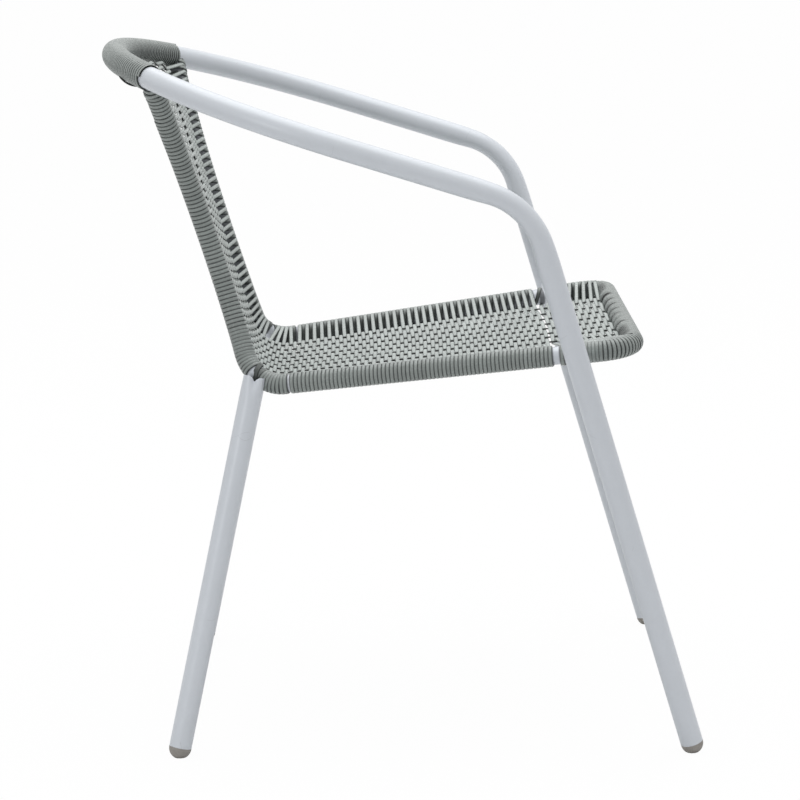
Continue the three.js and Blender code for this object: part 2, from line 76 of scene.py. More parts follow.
BACK_BULGE = 1.5
BACK_BULGE_START = 480.0
BACK_BULGE_FADE = 30.0
UPRIGHT_BOW = 2.4
UPRIGHT_BOW_START = 0.1
UPRIGHT_BOW_SCALE = 2.4
REAR_FOOT = np.array([-278.0, 208.5, 0.0])
REAR_LEG_SETBACK = 4.6
REAR_LEG_OUTSET = 13.0
REAR_LEG_RISE = 2.0
REAR_LEG_CRUSH = 28.0
REAR_LEG_DENT = 4.5
REAR_LEG_NOTCH = 5.0
REAR_LEG_DENT_BELL = (-0.15, 0.3)
REAR_LEG_RIDGE_BELL = (0.8, 0.35)
REAR_LEG_RIDGE = 0.08
REAR_LEG_SQUEEZE = 0.03
REAR_LEG_LOBE = 0.7
REAR_LEG_SIDES = 48
SEAT_TUBE_SIDES = 24
INTO_BOW_SHARE = 0.7
LINK_END_SHARE = 0.8
CAP_CONTACT_RADIUS = 6.5
CAP_COLLAR = 0.8
CAP_COLLAR_ROUND = 0.85
CAP_OVERLAP = 0.1
CAP_TIP_RADIUS = 0.001
CAP_SIDES = 36

# Strand, and how it is wound and woven
STRAND_WIDTH = 4.1
STRAND_THICKNESS = 2.0
STRAND_CORNERS = 8
RAIL_WRAP_THICKNESS = 1.8
UPRIGHT_WRAP_THICKNESS = 1.35
WEFT_THICKNESS = 1.4
UPRIGHT_WRAP_FADE = 20.0
WRAP_RADIUS = SEAT_TUBE_RADIUS + RAIL_WRAP_THICKNESS / 2
WINDING_SAMPLES = 34
CORNER_SAMPLES = 7
CORNER_BELL = np.array([0, 0.6, 1, 1, 1, 0.6, 0])
# Painted shade: the mesh's shade, which the materials multiply into the colour, is lower in grooves,
# cavities, on a strand's side against something and on the tube under the winding
GROOVE_SHADE = 0.35
WOVEN_GROOVE_SHADE = 0.75
CAVITY_SHADE = 0.35
BACK_SHADE = 0.55
UNDER_WINDING_SHADE = 0.3
UNDER_WINDING_REACH = 2.6
WRAP_SHADE_MEAN = 1.3
WRAP_SHADE_SWING = 1.5
# Painted shade: low open shares darken the knot turns, the loop below the bow and the filler strands
KNOT_AND_LOOP_SHADE_SHARE = 0.15
# Painted light: an open share above one makes the woven strands lighter than the wound ones
WOVEN_LIGHT_SHARE = 1.75
WEFT_SHARES = np.array([0.565, 0.365, 0.19, 0.022, -0.13, -0.288, -0.41, -0.565])
LOWER_WEFT_SHARES = np.linspace(0.6, -0.62, 8)
UPPER_WEFT_SHARES = np.array([0.75, 0.63, 0.51, 0.39, 0.27, -0.2, -0.36, -0.52])
WEAVE_RISE = 2.1
WEFT_RISE = 0.3
WEFT_BEND_REACH = 3.8
WEFT_BEND_LEAD = 0.35
WEFT_SHADE = 0.0
WEFT_SAMPLES = 3
WEFT_STEP = 4.0
WEFT_TOP = 2.0
WEFT_FRONT_SETBACK = 0.3
WEFT_FRONT_DROP = 0.7
LOWER_SHARES_RAMP = (-40.0, 80.0)
UPPER_SHARES_RAMP = (85.0, 150.0)
CROSSING_BULGE = 3.0
CROSSING_BULGE_SHARE = 0.75
SEAT_BULGE_OVER = 60.0
FRONT_BULGE_X = 150.0
FRONT_BULGE_OVER = 35.0
FRONT_BULGE_FACTOR = 1.4
LOWER_BULGE_FACTOR = 2.0
LOWER_BULGE_TOP_RAMP = (145.0, -50.0)
LOWER_BULGE_BOTTOM_RAMP = (-25.0, 45.0)
WRAP_LEAN = 0.4
WRAP_STEPS = ((13.0, 33.0, 0.4), (46.0, 60.0, 0.6))
FRONT_CROSSINGS = 15
MAIN_CROSSINGS = 65
SHORT_CROSSINGS = 8
TIGHT_CROSSINGS = 13
BACK_CROSSINGS = 63
LOWER_BACK_SHADE = 0.1
LOWER_BACK_RISE = 20.0
LOWER_BACK_RAMP = (80.0, -40.0)

# Bow's winding, and the loop below its right end
BOW_WRAP_SPACING = 150.0
BOW_WRAP_PITCH = 3.9
BOW_TURN_SAMPLES = 28
BOW_INNER_SHADE = 0.5
BOW_FAR_FADE = 60.0
BOW_LOW_RAMP = (0.6, -1.0)
BOW_LOW_SHADE = 1.9
BOW_END_RAMP = (95.0, 10.0)
BOW_END_HIGH_RAMP = (-0.3, 1.0)
BOW_END_SHADE = 0.35
LOOP_SAG = 1.3
LOOP_START = 46.0
LOOP_LENGTH = 26.0
LOOP_SWING = 0.5
LOOP_SAMPLES = 30

# Front rail's winding
FRONT_WRAP_PITCH = 3.75
FRONT_LUMP = 1.2
FRONT_LUMP_LENGTH = 13.0
FRONT_LUMP_INSET = 8.0
FRONT_INNER_RAMP = (0.15, 1.0)
FRONT_STRAIGHT_RAMP = (170.0, -20.0)
FRONT_GROOVE_SHADE = 0.15
SLIT_SHADE = 1.5
SLIT_SIDE_RAMP = (0.1, -0.4)
SLIT_LUMP_RAMP = (1.0, -0.68)
SLIT_SPACING_RAMP = (118.0, -10.0)

# Tied strands, each with two distances, a pitch, how far beyond a winding it lies and an angle
KNOT_AT = FRONT_CROSSINGS + MAIN_CROSSINGS + SHORT_CROSSINGS
TOP_TIE = (21.0, 11.0, -8.0, 0.8, 0.6)
TOP_TIE_THICKNESS = 1.4
KNOT_TURNS = (
    (-3.0, -17.0, -34.0, 0.2, 2.1), (-6.0, -20.0, -34.0, 0.2, 1.7), (-9.5, -23.0, -34.0, 0.2, 1.3))
KNOT_TURN_SAMPLES = 60
KNOT_WRAP = (-7.0, -3.0, 2.4, -0.6, 2.6)
# Painted shade: the knot turns are darker still, the fillers less dark
DEEP_KNOT_SHADE_SHARE = KNOT_AND_LOOP_SHADE_SHARE - 0.2
FILLER_STATIONS = (3.2, 0.4)
FILLER_SHADE_SHARE = 0.4
FILLER_SAMPLES = 60

# Where the crossings are wound on, and where they lie in the middle of the weave
FRONT_WOUND_X = 146.5
FRONT_WOUND_PITCH = 3.6
RING_WOUND_X = 122.5
MAIN_WOUND_X = 110.7
MAIN_PITCH = 4.15
SHORT_LEAD = 2.3
SHORT_PITCH = 3.45
TIGHT_LEAD = 20.0
TIGHT_PITCH = 3.85
FRONT_MIDDLE_X = 121.0
FRONT_MIDDLE_PITCH = 4.5
RING_MIDDLE_X = 116.9
LEFT_FRONT_ORDERS = (0, 11, 14)
LEFT_FRONT_WOUND_X = (189.0, 144.5, 142.5)
TOP_WRAP_GAP = 6.0


def unit(vectors):
    """Each vector divided by its own length."""
    return vectors / np.maximum(np.linalg.norm(vectors, axis=-1, keepdims=True), 1e-12)


def dot(a, b):
    """Row by row scalar product, with its axis kept."""
    return np.sum(a * b, axis=-1, keepdims=True)


def in_frame(points):
    """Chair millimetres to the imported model's metres: shifted forward, then scaled."""
    return (np.asarray(points, float) + FRAME_SHIFT * X) * METRES


def run_lengths(points):
    """Distance along a line of points, summed from its first point."""
    steps = np.linalg.norm(np.diff(points, axis=0), axis=1)
    return np.concatenate([[0.0], np.cumsum(steps)])


def directions(points):
    """The way along a line of points: the sum of the unit steps before and after each point."""
    steps = unit(np.diff(points, axis=0))
    return unit(np.concatenate([steps[:1], steps[:-1] + steps[1:], steps[-1:]]))


def between(distance, run, table):
    """Rows of a table at some distances, by linear interpolation between its own distances."""
    return np.stack([np.interp(distance, run, table[:, k]) for k in range(3)], axis=-1)


def ramp(value, start, length):
    """0 on one side of the start, 1 from the start plus the length on, and straight in between. A
    negative length makes it rise towards lower values. The constants named RAMP hold both."""
    return np.clip((value - start) / length, 0, 1)


def bell(value, middle, width):
    """A bell curve: e to the power of minus the square of the distance over the width."""
    return np.exp(-((value - middle) / width) ** 2)


def resampled(points, spacing):
    """The same line of points at even distances, by linear interpolation along its length."""
    run = run_lengths(points)
    even = np.linspace(0, run[-1], max(int(run[-1] / spacing), 1) + 1)
    return between(even, run, points)


def rounded_corner(before, corner, after, radius, steps=24):
    """Circle arc that touches both runs of a corner: the centre lies on the corner's bisector, and
    the start radius turns about the corner's normal."""
    to_before, to_after = unit(before - corner), unit(after - corner)
    half = math.acos(float(to_before @ to_after)) / 2
    centre = corner + unit(to_before + to_after) * radius / math.sin(half)
    start = corner + to_before * radius / math.tan(half) - centre
    ahead = -to_before * radius
    turn = np.linspace(0, math.pi - 2 * half, steps + 1)[:, None]
    return centre + start * np.cos(turn) + ahead * np.sin(turn)


# Lines that the tubes follow
arm_direction = np.array([math.cos(ARM_FALL), 0, -math.sin(ARM_FALL)])
arm_normal = np.array([math.sin(ARM_FALL), 0, math.cos(ARM_FALL)])
bow_centre = np.array([BOW_REAR_X, 0, BOW_REAR_HEIGHT]) + BOW_RADIUS * arm_direction


def bow_point(spacing):
    """Point of the bow's circle at a signed distance from the chair's middle."""
    spacing = np.asarray(spacing, float)[..., None]
    return bow_centre - arm_direction * np.sqrt(BOW_RADIUS ** 2 - spacing ** 2) + spacing * Y


def arm_line():
    """Left foot, leg, arm bend, arm, half circle of the bow, and the same mirrored."""
    corner = bow_centre + ARM_LENGTH * arm_direction + (BOW_RADIUS - ARM_INSET) * Y
    bow_end = bow_centre + BOW_RADIUS * Y
    bend = rounded_corner(FRONT_FOOT, corner, bow_end, ARM_BEND_RADIUS)
    angle = np.linspace(0, math.pi, 121)[:, None]
    bow = bow_centre - BOW_RADIUS * (arm_direction * np.sin(angle) - Y * np.cos(angle))
    left = np.concatenate([[FRONT_FOOT], bend])
    return np.concatenate([left, bow, (left * MIRROR)[::-1]]), unit(corner - FRONT_FOOT), bend


arms, front_leg_up, arm_bend = arm_line()
seat_slope = math.tan(SEAT_FALL)
rear_corner = np.array([
    SEAT_FRONT_X - SEAT_DEPTH, SEAT_REAR_SPACING, SEAT_FRONT_HEIGHT - SEAT_DEPTH * seat_slope])
upright_top = bow_point(BACK_TOP_SPACING)
back_height = upright_top[2] - rear_corner[2]
waist_height = rear_corner[2] + WAIST_SHARE * back_height
bowed_height = rear_corner[2] + BOWED_SHARE * back_height


def rail_point(x):
    """Straight seat rail: height and half spacing are linear in x."""
    x = np.asarray(x, float)
    share = (SEAT_FRONT_X - x) / SEAT_DEPTH
    spacing = SEAT_FRONT_SPACING + (SEAT_REAR_SPACING - SEAT_FRONT_SPACING) * share
    return np.stack([x, spacing, SEAT_FRONT_HEIGHT + (x - SEAT_FRONT_X) * seat_slope], axis=-1)


def upright_point(height):
    """Upright: almost straight in side view, bowed back by a power of the height times a root of
    what is left of it, scaled so that it comes to one. Its half spacing is a parabola with its
    lowest value at the waist."""
    height = np.asarray(height, float)
    share = (height - rear_corner[2]) / back_height
    from_waist = (height - waist_height) / (upright_top[2] - waist_height)
    spacing = WAIST_SPACING + (BACK_TOP_SPACING - WAIST_SPACING) * from_waist ** 2
    above_bend = ramp(share, UPRIGHT_BOW_START, 1 - UPRIGHT_BOW_START)
    bow = UPRIGHT_BOW * UPRIGHT_BOW_SCALE * above_bend ** 1.5 * (1 - above_bend) ** (1 / 3)
    x = rear_corner[0] + (upright_top[0] - rear_corner[0]) * share - bow
    return np.stack([x, spacing, height], axis=-1)


def rear_bend_line(steps=48):
    """Arc in side view. The half spacing is the cubic that leaves the upright and meets the rail
    with their own slopes."""
    flat = np.array([1.0, 0.0, 1.0])
    corner, top = rear_corner * flat, upright_top * flat
    forward = np.array([math.cos(SEAT_FALL), 0, math.sin(SEAT_FALL)])
    arc = rounded_corner(top, corner, corner + forward, REAR_BEND_RADIUS, steps)
    length = REAR_BEND_RADIUS * (math.pi - math.acos(float(unit(top - corner) @ forward)))
    probe = 0.3
    start, end = upright_point(arc[0, 2])[1], rail_point(arc[-1, 0])[1]
    start_slope = (start - upright_point(arc[0, 2] + probe)[1]) / probe * length
    end_slope = (rail_point(arc[-1, 0] + probe)[1] - end) / probe * length
    t = np.linspace(0, 1, steps + 1)
    spacing = (start * (2 * t ** 3 - 3 * t ** 2 + 1) + start_slope * (t ** 3 - 2 * t ** 2 + t)
               + end * (3 * t ** 2 - 2 * t ** 3) + end_slope * (t ** 3 - t ** 2))
    return arc + spacing[:, None] * Y


rear_bend = rear_bend_line()


class Line:
    """A line of points with, at each distance along it, its centre, the weave's normal there and
    the direction outwards from the weave."""

    def __init__(self, points, lean):
        self.run = run_lengths(points)
        self.points = points
        along = directions(points)
        side_normal = np.stack([-np.sin(lean), np.zeros_like(lean), np.cos(lean)], axis=1)
        self.normal = unit(side_normal - dot(side_normal, along) * along)
        self.out = np.cross(self.normal, along)

    def at(self, distance):
        """Centre, normal and outward direction at some distances, linear between the points."""
        normal, out = between(distance, self.run, self.normal), between(distance, self.run, self.out)
        return between(distance, self.run, self.points), unit(normal), unit(out)


back_lean = math.atan2(-(upright_top[2] - rear_corner[2]), -(upright_top[0] - rear_corner[0]))


def upright_and_bend():
    """Points from the upright's top to the bend's end, and the side view's slope at each."""
    heights = np.linspace(upright_top[2], rear_bend[0, 2], 150)[:-1]
    points = np.concatenate([upright_point(heights), rear_bend])
    bend_lean = np.linspace(back_lean, SEAT_FALL, len(rear_bend))
    return points, np.concatenate([np.full(len(heights), back_lean), bend_lean])


def frame_line():
    """Left half of the seat and back frame, from the upright's top to the front rail's middle."""
    points, lean = upright_and_bend()
    front_corner = rail_point(SEAT_FRONT_X)
    corner = rounded_corner(rear_corner, front_corner, front_corner * MIRROR, SEAT_CORNER_RADIUS)
    rail = resampled(np.array([rear_bend[-1], corner[0]]), 3)[1:-1]
    middle = resampled(np.array([corner[-1], front_corner * (X + Z)]), 3)[1:]
    more = np.concatenate([rail, corner, middle])
    lean = np.concatenate([lean, np.full(len(more), SEAT_FALL)])
    return Line(np.concatenate([points, more]), lean), len(points) - 1


frame_left, bend_end = frame_line()
BEND_TOP = frame_left.run[bend_end - len(rear_bend) + 1]
BEND_BOTTOM = frame_left.run[bend_end]


def weave_line():
    """The weave's edge: as the frame, but straight on to the front rail without the corner."""
    points, lean = upright_and_bend()
    rail = resampled(np.array([rear_bend[-1], rail_point(SEAT_FRONT_X)]), 3)[1:]
    return Line(np.concatenate([points, rail]), np.concatenate([lean, np.full(len(rail), SEAT_FALL)]))


weave_edge = weave_line()
RAIL_STRETCH = float(np.linalg.norm(rail_point(1.0) - rail_point(0.0)))


def on_rail(x):
    """Distance along the frame line, or the weave's edge, of the rail's point at x."""
    return BEND_BOTTOM + (np.asarray(x, float) - rear_bend[-1, 0]) * RAIL_STRETCH


def crossing_stations():
    """For each crossing, from the front to the top of the back: its distance along the frame where
    it is wound on, first on the right and then on the left, and its distance along the weave's edge
    in the middle of the weave."""
    def run_of(start, pitch, count):
        return start - pitch * np.arange(count)

    def front_run(last_x, pitch):
        return run_of(on_rail(last_x) + pitch * (FRONT_CROSSINGS - 1), pitch, FRONT_CROSSINGS)

    main = run_of(on_rail(MAIN_WOUND_X), MAIN_PITCH, MAIN_CROSSINGS)
    short = run_of(BEND_BOTTOM + SHORT_LEAD, SHORT_PITCH, SHORT_CROSSINGS)
    tight = run_of(BEND_TOP + TIGHT_LEAD, TIGHT_PITCH, TIGHT_CROSSINGS)
    back = np.linspace(tight[-1], TOP_WRAP_GAP, BACK_CROSSINGS + 1)[1:]
    front = front_run(FRONT_WOUND_X, FRONT_WOUND_PITCH)
    wound = np.concatenate([front, [on_rail(RING_WOUND_X)], main, short, tight, back])
    front = front_run(FRONT_MIDDLE_X, FRONT_MIDDLE_PITCH)
    fan = np.linspace(main[-1], back[0], SHORT_CROSSINGS + TIGHT_CROSSINGS + 2)[1:-1]
    middle = np.concatenate([front, [on_rail(RING_MIDDLE_X)], main, fan, back])
    left = wound.copy()
    order = np.arange(FRONT_CROSSINGS)
    left[:FRONT_CROSSINGS] = on_rail(np.interp(order, LEFT_FRONT_ORDERS, LEFT_FRONT_WOUND_X))
    return wound, left, middle


wound, left_wound, middle = crossing_stations()
CROSSINGS = len(wound)


def sheet_point(distance, share):
    """The weave's middle surface: straight from edge to edge, with a faint forward bulge in the
    upper back, and drawn back to the bow's curve with the square of the height above where that
    starts."""
    edge, normal, _ = weave_edge.at(distance)
    share = np.asarray(share)[..., None]
    height = edge[..., 2:3]
    pull = ramp(height, bowed_height, upright_top[2] - bowed_height)
    drawn = (bow_point(share[..., 0] * BACK_TOP_SPACING) - upright_top) * (X + Z) * pull ** 2
    above = ramp(height, BACK_BULGE_START, BACK_BULGE_FADE)
    in_bulge = above * ramp(height, bowed_height, -BACK_BULGE_FADE)
    bulge = normal * BACK_BULGE * in_bulge * (1 - share ** 4)
    return edge * (X + Z) + edge * Y * share + drawn + bulge


def sheet_normal(distance, share):
    """Normal of the middle surface: cross product of its differences along and across."""
    along = sheet_point(distance + 1, share) - sheet_point(distance - 1, share)
    across = sheet_point(distance, share + 0.01) - sheet_point(distance, share - 0.01)
    return unit(np.cross(along, across))


# Meshes
def grid_faces(rows, columns, closed_rows=False):
    """Quads of a grid whose columns close into a ring, and whose rows do too where asked."""
    i = np.arange(rows if closed_rows else rows - 1)[:, None]
    j = np.arange(columns)[None, :]
    after, beside = (i + 1) % rows, (j + 1) % columns
    corners = [i * columns + j, i * columns + beside, after * columns + beside, after * columns + j]
    return np.stack(corners, axis=-1).reshape(-1, 4)


def closed_grid(rows, columns):
    """The same quads as a list, and a face over each end."""
    ends = [list(range(columns))[::-1], list(range((rows - 1) * columns, rows * columns))]
    return grid_faces(rows, columns).tolist() + ends


def grid_uv(run, columns):
    """For each quad corner: the share of the way round, and the distance along in metres."""
    j = np.arange(columns)[None, :]
    low, high = run[:-1, None] * METRES, run[1:, None] * METRES
    around = np.broadcast_to(j / columns, (len(run) - 1, columns))
    beside = around + 1 / columns
    low, high = np.broadcast_to(low, around.shape), np.broadcast_to(high, around.shape)
    corners = [(around, low), (beside, low), (beside, high), (around, high)]
    return np.stack([np.stack(c, axis=-1) for c in corners], axis=2).reshape(-1, 2)


def linked(name, data):
    """A new object in the scene, at the origin."""
    added = bpy.data.objects.new(name, data)
    bpy.context.collection.objects.link(added)
    return added


def add_piece(name, points, faces, material, slot, nodes=(), uv=None, shade=None, sharp=40):
    """One object at the origin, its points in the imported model's metres. It rides on the root."""
    mesh = bpy.data.meshes.new(name)
    mesh.from_pydata(in_frame(points), [], faces)
    if uv is not None:
        layer = mesh.uv_layers.new(name="strand")
        layer.data.foreach_set("uv", np.asarray(uv, np.float32).ravel())
    attribute = mesh.attributes.new("shade", "FLOAT", "POINT")
    shade = np.ones(len(points)) if shade is None else shade
    attribute.data.foreach_set("value", np.asarray(shade, np.float32))
    mesh.shade_smooth()
    mesh.set_sharp_from_angle(angle=math.radians(sharp))
    mesh.materials.append(material)
    piece = linked(name, mesh)
    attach(piece, "root")
    if nodes:
        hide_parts(*nodes)


def add_strand(name, mesh, nodes=()):
    """A piece of strand, from the points, faces, UV and shade of strand_mesh() or joined()."""
    points, faces, uv, shade = mesh
    add_piece(name, points, faces, strand, "strand", nodes, uv, shade, sharp=75)


def swept(points, face, profile):
    """A profile carried along a path. At each point its second number goes along the face
    direction, made square to the path, and its first along path cross face."""
    along = directions(points)
    face = unit(face - dot(face, along) * along)
    side = np.cross(face, along)
    profile = np.broadcast_to(profile, (len(points),) + profile.shape[-2:])
    return points[:, None] + profile[..., 0:1] * side[:, None] + profile[..., 1:2] * face[:, None]


def circle(radius, sides):
    """Points of a circle, counter-clockwise."""
    angle = 2 * math.pi * np.arange(sides) / sides
    return radius * np.stack([np.cos(angle), np.sin(angle)], axis=1)


def strand_profile(thickness):
    """Flat rounded strand: a circle whose sine and cosine are raised to a power below one, and
    which is then stretched to its full width and thickness."""
    angle = 2 * math.pi * (np.arange(STRAND_CORNERS) + 0.5) / STRAND_CORNERS
    across = np.sign(np.cos(angle)) * np.abs(np.cos(angle)) ** 0.75
    through = np.sign(np.sin(angle)) * np.abs(np.sin(angle)) ** 0.85
    across = across * STRAND_WIDTH / 2 / across.max()
    return np.stack([across, through * thickness / 2 / through.max()], axis=1)


STRAND = strand_profile(STRAND_THICKNESS)


def strand_mesh(points, face, profile=STRAND, open_share=1.0, open_side=1.0,
                thickness=STRAND_THICKNESS, groove_shade=GROOVE_SHADE):
    """Points, faces, UV and shade of one strand with both of its ends closed. The shade is painted
    shade, multiplied into the colour: lower in the grooves along the strand's sides, where its open
    share says that it lies in a cavity, and on the side that lies against something: the back where
    the open side is 1, the face where it is -1, and neither where it is 0. An open share above one
    makes it painted light."""
    thickness = np.broadcast_to(thickness, len(points)) / STRAND_THICKNESS
    stretch = np.stack([np.ones(len(points)), thickness], axis=1)
    ring = swept(points, face, profile * stretch[:, None])
    aside = np.abs(profile[:, 0]) / np.abs(profile[:, 0]).max()
    outward = profile[:, 1] / profile[:, 1].max()
    groove_shade = np.broadcast_to(groove_shade, len(points))[:, None]
    groove = 1 - (1 - groove_shade) * aside[None, :] ** 6
    opened = np.broadcast_to(open_share, len(points))
    open_side = np.broadcast_to(open_side, len(points))[:, None]
    against = (np.abs(open_side) - outward[None, :] * open_side) / 2
    shade = (CAVITY_SHADE + (1 - CAVITY_SHADE) * opened)[:, None] * groove
    shade *= 1 - (1 - BACK_SHADE) * against
    rows, columns = ring.shape[:2]
    uv = np.concatenate([grid_uv(run_lengths(points), columns), np.zeros((2 * columns, 2))])
    return ring.reshape(-1, 3), closed_grid(rows, columns), uv, shade.ravel()


def joined(parts):
    """Several strand meshes as one: the faces of each are moved on by the points before it."""
    points, faces, uvs, shades, count = [], [], [], [], 0
    for part_points, part_faces, part_uv, part_shade in parts:
        points.append(part_points)
        faces.extend([[corner + count for corner in face] for face in part_faces])
        uvs.append(part_uv)
        shades.append(part_shade)
        count += len(part_points)
    return np.concatenate(points), faces, np.concatenate(uvs), np.concatenate(shades)


def tube_mesh(points, face, radius, scale=1.0, lift=0.0, sides=32, wall=TUBE_WALL):
    """An open tube: its outer and its inner circle are carried along the same path, and the two
    skins are joined at both ends. Scale stretches the circles, and lift moves their points along
    the path."""
    lift = lift * directions(points)[:, None]
    outer = swept(points, face, circle(radius, sides) * scale) + lift
    inner = swept(points, face, circle(radius - wall, sides) * scale) + lift
    ring = np.concatenate([outer, inner[::-1]])
    return ring.reshape(-1, 3), grid_faces(len(ring), sides, closed_rows=True).tolist()


# Materials
PAINT_COLOUR = (0.57, 0.60, 0.64)
PAINT_DUST = (0.72, 0.72, 0.71)
PAINT_SCUFF = (0.30, 0.31, 0.33)
STRAND_COLOUR = (0.235, 0.26, 0.25)
STRAND_DUST = (0.42, 0.42, 0.40)
CAP_COLOUR = (0.27, 0.255, 0.235)
CAP_WORN = (0.45, 0.43, 0.40)
PAINT_ROUGHNESS = 0.4
STRAND_ROUGHNESS = 0.27
CAP_ROUGHNESS = 0.6
SCUFF_WIDTH = 0.004
SCUFF_FROM = 0.62
SCUFF_SHARE = 0.3
TONE_SWING = 0.5
TONE_LOWEST = 0.75
WORN_HEIGHT = 0.0009
BUMP_DISTANCE = 0.0002
STRAND_RIBS = 12
LOWEST_SHADE = 0.02


class Graph:
    """A node tree, with short ways to add the nodes that this file uses often. What goes into a
    node is either a socket, which is linked, or a value, which is set."""

    def __init__(self, tree):
        self.nodes, self.links = tree.nodes, tree.links

    def feed(self, socket, value):
        """Link a socket to another one, or set its value."""
        if isinstance(value, bpy.types.NodeSocket):
            self.links.new(value, socket)
        else:
            socket.default_value = value

    def fed(self, node, inputs):
        """The same node, with its inputs fed."""
        for name, value in inputs.items():
            self.feed(node.inputs[name], value)
        return node

    def new(self, kind, inputs=None):
        """A new shader node of a kind, with its inputs fed."""
        return self.fed(self.nodes.new("ShaderNode" + kind), inputs or {})

    def maths(self, operation, *values):
        """A math node's result."""
        node = self.new("Math")
        node.operation = operation
        return self.fed(node, dict(enumerate(values))).outputs[0]

    def times(self, first, second):
        """Two values' product."""
        return self.maths("MULTIPLY", first, second)

    def noise(self, vector, scale, detail=3.0):
        """A noise texture's value at a vector."""
        inputs = {"Detail": detail, "Scale": scale, "Vector": vector}
        return self.new("TexNoise", inputs).outputs["Fac"]

    def part(self, vector, axis):
        """One of a vector's three numbers."""
        return self.new("SeparateXYZ", {"Vector": vector}).outputs[axis]

    def bump(self, height, strength):
        """A bump node, on the surface's own normal."""
        return self.new("Bump", {"Distance": BUMP_DISTANCE, "Strength": strength, "Height": height})

    def shade(self):
        """The shade that add_piece() gives each mesh."""
        node = self.new("Attribute")
        node.attribute_name = "shade"
        return node.outputs["Fac"]

    def mixed(self, blend, factor, first, second):
        """Two colours mixed by a blend."""
        node = self.new("Mix")
        node.data_type = "RGBA"
        node.blend_type = blend
        return self.fed(node, {"Factor": factor, "A": first, "B": second}).outputs["Result"]

    def placed(self, group, vector, **values):
        """A group's outputs, from a vector and its other inputs' values."""
        node = self.new("Group")
        node.node_tree = group
        return self.fed(node, {"Vector": vector, **values}).outputs

    def surface(self, output, inputs):
        """The material's shader, linked to its output."""
        self.feed(output, self.new("BsdfPrincipled", inputs).outputs["BSDF"])

    def mixed_shaders(self, output, factor, first, second):
        """Two shaders mixed by a factor, linked to the output."""
        mix = self.new("MixShader", {"Fac": factor, 1: first, 2: second})
        self.feed(output, mix.outputs["Shader"])


def new_material(name):
    """A new material with an empty node tree. Returns it, its graph and its output's socket."""
    material = bpy.data.materials.new(name)
    material.use_nodes = True
    material.node_tree.nodes.clear()
    graph = Graph(material.node_tree)
    return material, graph, graph.new("OutputMaterial").inputs["Surface"]


def node_group(name, inputs, outputs):
    """A new node group, its sockets given by their names and kinds. Returns it, its graph, the
    sockets that come in and the sockets that go out."""
    group = bpy.data.node_groups.new(name, "ShaderNodeTree")
    for in_out, sockets in (("INPUT", inputs), ("OUTPUT", outputs)):
        for socket, kind in sockets.items():
            group.interface.new_socket(socket, in_out=in_out, socket_type="NodeSocket" + kind)
    given, result = group.nodes.new("NodeGroupInput"), group.nodes.new("NodeGroupOutput")
    return group, Graph(group), given.outputs, result.inputs


def uneven_group():
    """Slow and fine unevenness of a made surface: a value about one that varies by an amount, and
    a normal with a fine bump."""
    group, graph, given, result = node_group(
        "uneven_surface",
        {"Vector": "Vector", "Scale": "Float", "Amount": "Float", "Bump": "Float"},
        {"Value": "Float", "Normal": "Vector"})
    slow = graph.noise(given["Vector"], given["Scale"])
    fine = graph.noise(given["Vector"], graph.times(given["Scale"], 9.0))
    swing = graph.maths("SUBTRACT", graph.maths("ADD", slow, fine), 1.0)
    graph.feed(result["Value"], graph.maths("MULTIPLY_ADD", swing, given["Amount"], 1.0))
    graph.feed(result["Normal"], graph.bump(fine, given["Bump"]).outputs["Normal"])
    return group


def dust_group():
    """Mask of the dust that settles on what faces up: the normal's height, broken up by noise."""
    group, graph, given, result = node_group(
        "settled_dust", {"Vector": "Vector", "Amount": "Float"}, {"Mask": "Float"})
    upward = graph.part(graph.new("NewGeometry").outputs["Normal"], "Z")
    facing = graph.maths("POWER", graph.maths("MAXIMUM", upward, 0.0), 1.5)
    broken = graph.times(facing, graph.noise(given["Vector"], 30.0, 5.0))
    graph.feed(result["Mask"], graph.times(broken, given["Amount"]))
    return group


uneven = uneven_group()
dust = dust_group()


def painted_steel():
    """Silver-grey satin paint: a faint orange peel, slow cloudiness, dust on top and fine scuffs. The
    mesh's shade paints shade on it, darker and less glossy, where strand is wound over it."""
    material, graph, output = new_material("silver_paint")
    place = graph.new("TexCoord").outputs["Object"]
    surface = graph.placed(uneven, place, Scale=45.0, Amount=0.05, Bump=0.12)
    settled = graph.placed(dust, place, Amount=0.12)
    cells = graph.new("TexVoronoi")
    cells.feature = "DISTANCE_TO_EDGE"
    graph.fed(cells, {"Scale": 26.0, "Vector": place})
    thin = graph.maths("LESS_THAN", cells.outputs["Distance"], SCUFF_WIDTH)
    rare = graph.maths("GREATER_THAN", graph.noise(place, 11.0), SCUFF_FROM)
    scuffs = graph.times(graph.times(thin, rare), SCUFF_SHARE)
    shade = graph.shade()
    value = graph.times(shade, surface["Value"])
    colour = graph.mixed("MULTIPLY", 1.0, (*PAINT_COLOUR, 1), value)
    colour = graph.mixed("MIX", settled["Mask"], colour, (*PAINT_DUST, 1))
    graph.surface(output, {
        "Base Color": graph.mixed("MIX", scuffs, colour, (*PAINT_SCUFF, 1)),
        "Roughness": graph.times(surface["Value"], PAINT_ROUGHNESS),
        "Normal": surface["Normal"],
        "Specular IOR Level": graph.times(shade, 0.35),
        "Coat Weight": graph.times(shade, 0.08),
        "Coat Roughness": 0.2,
        "Metallic": 0.12,
    })
    return material


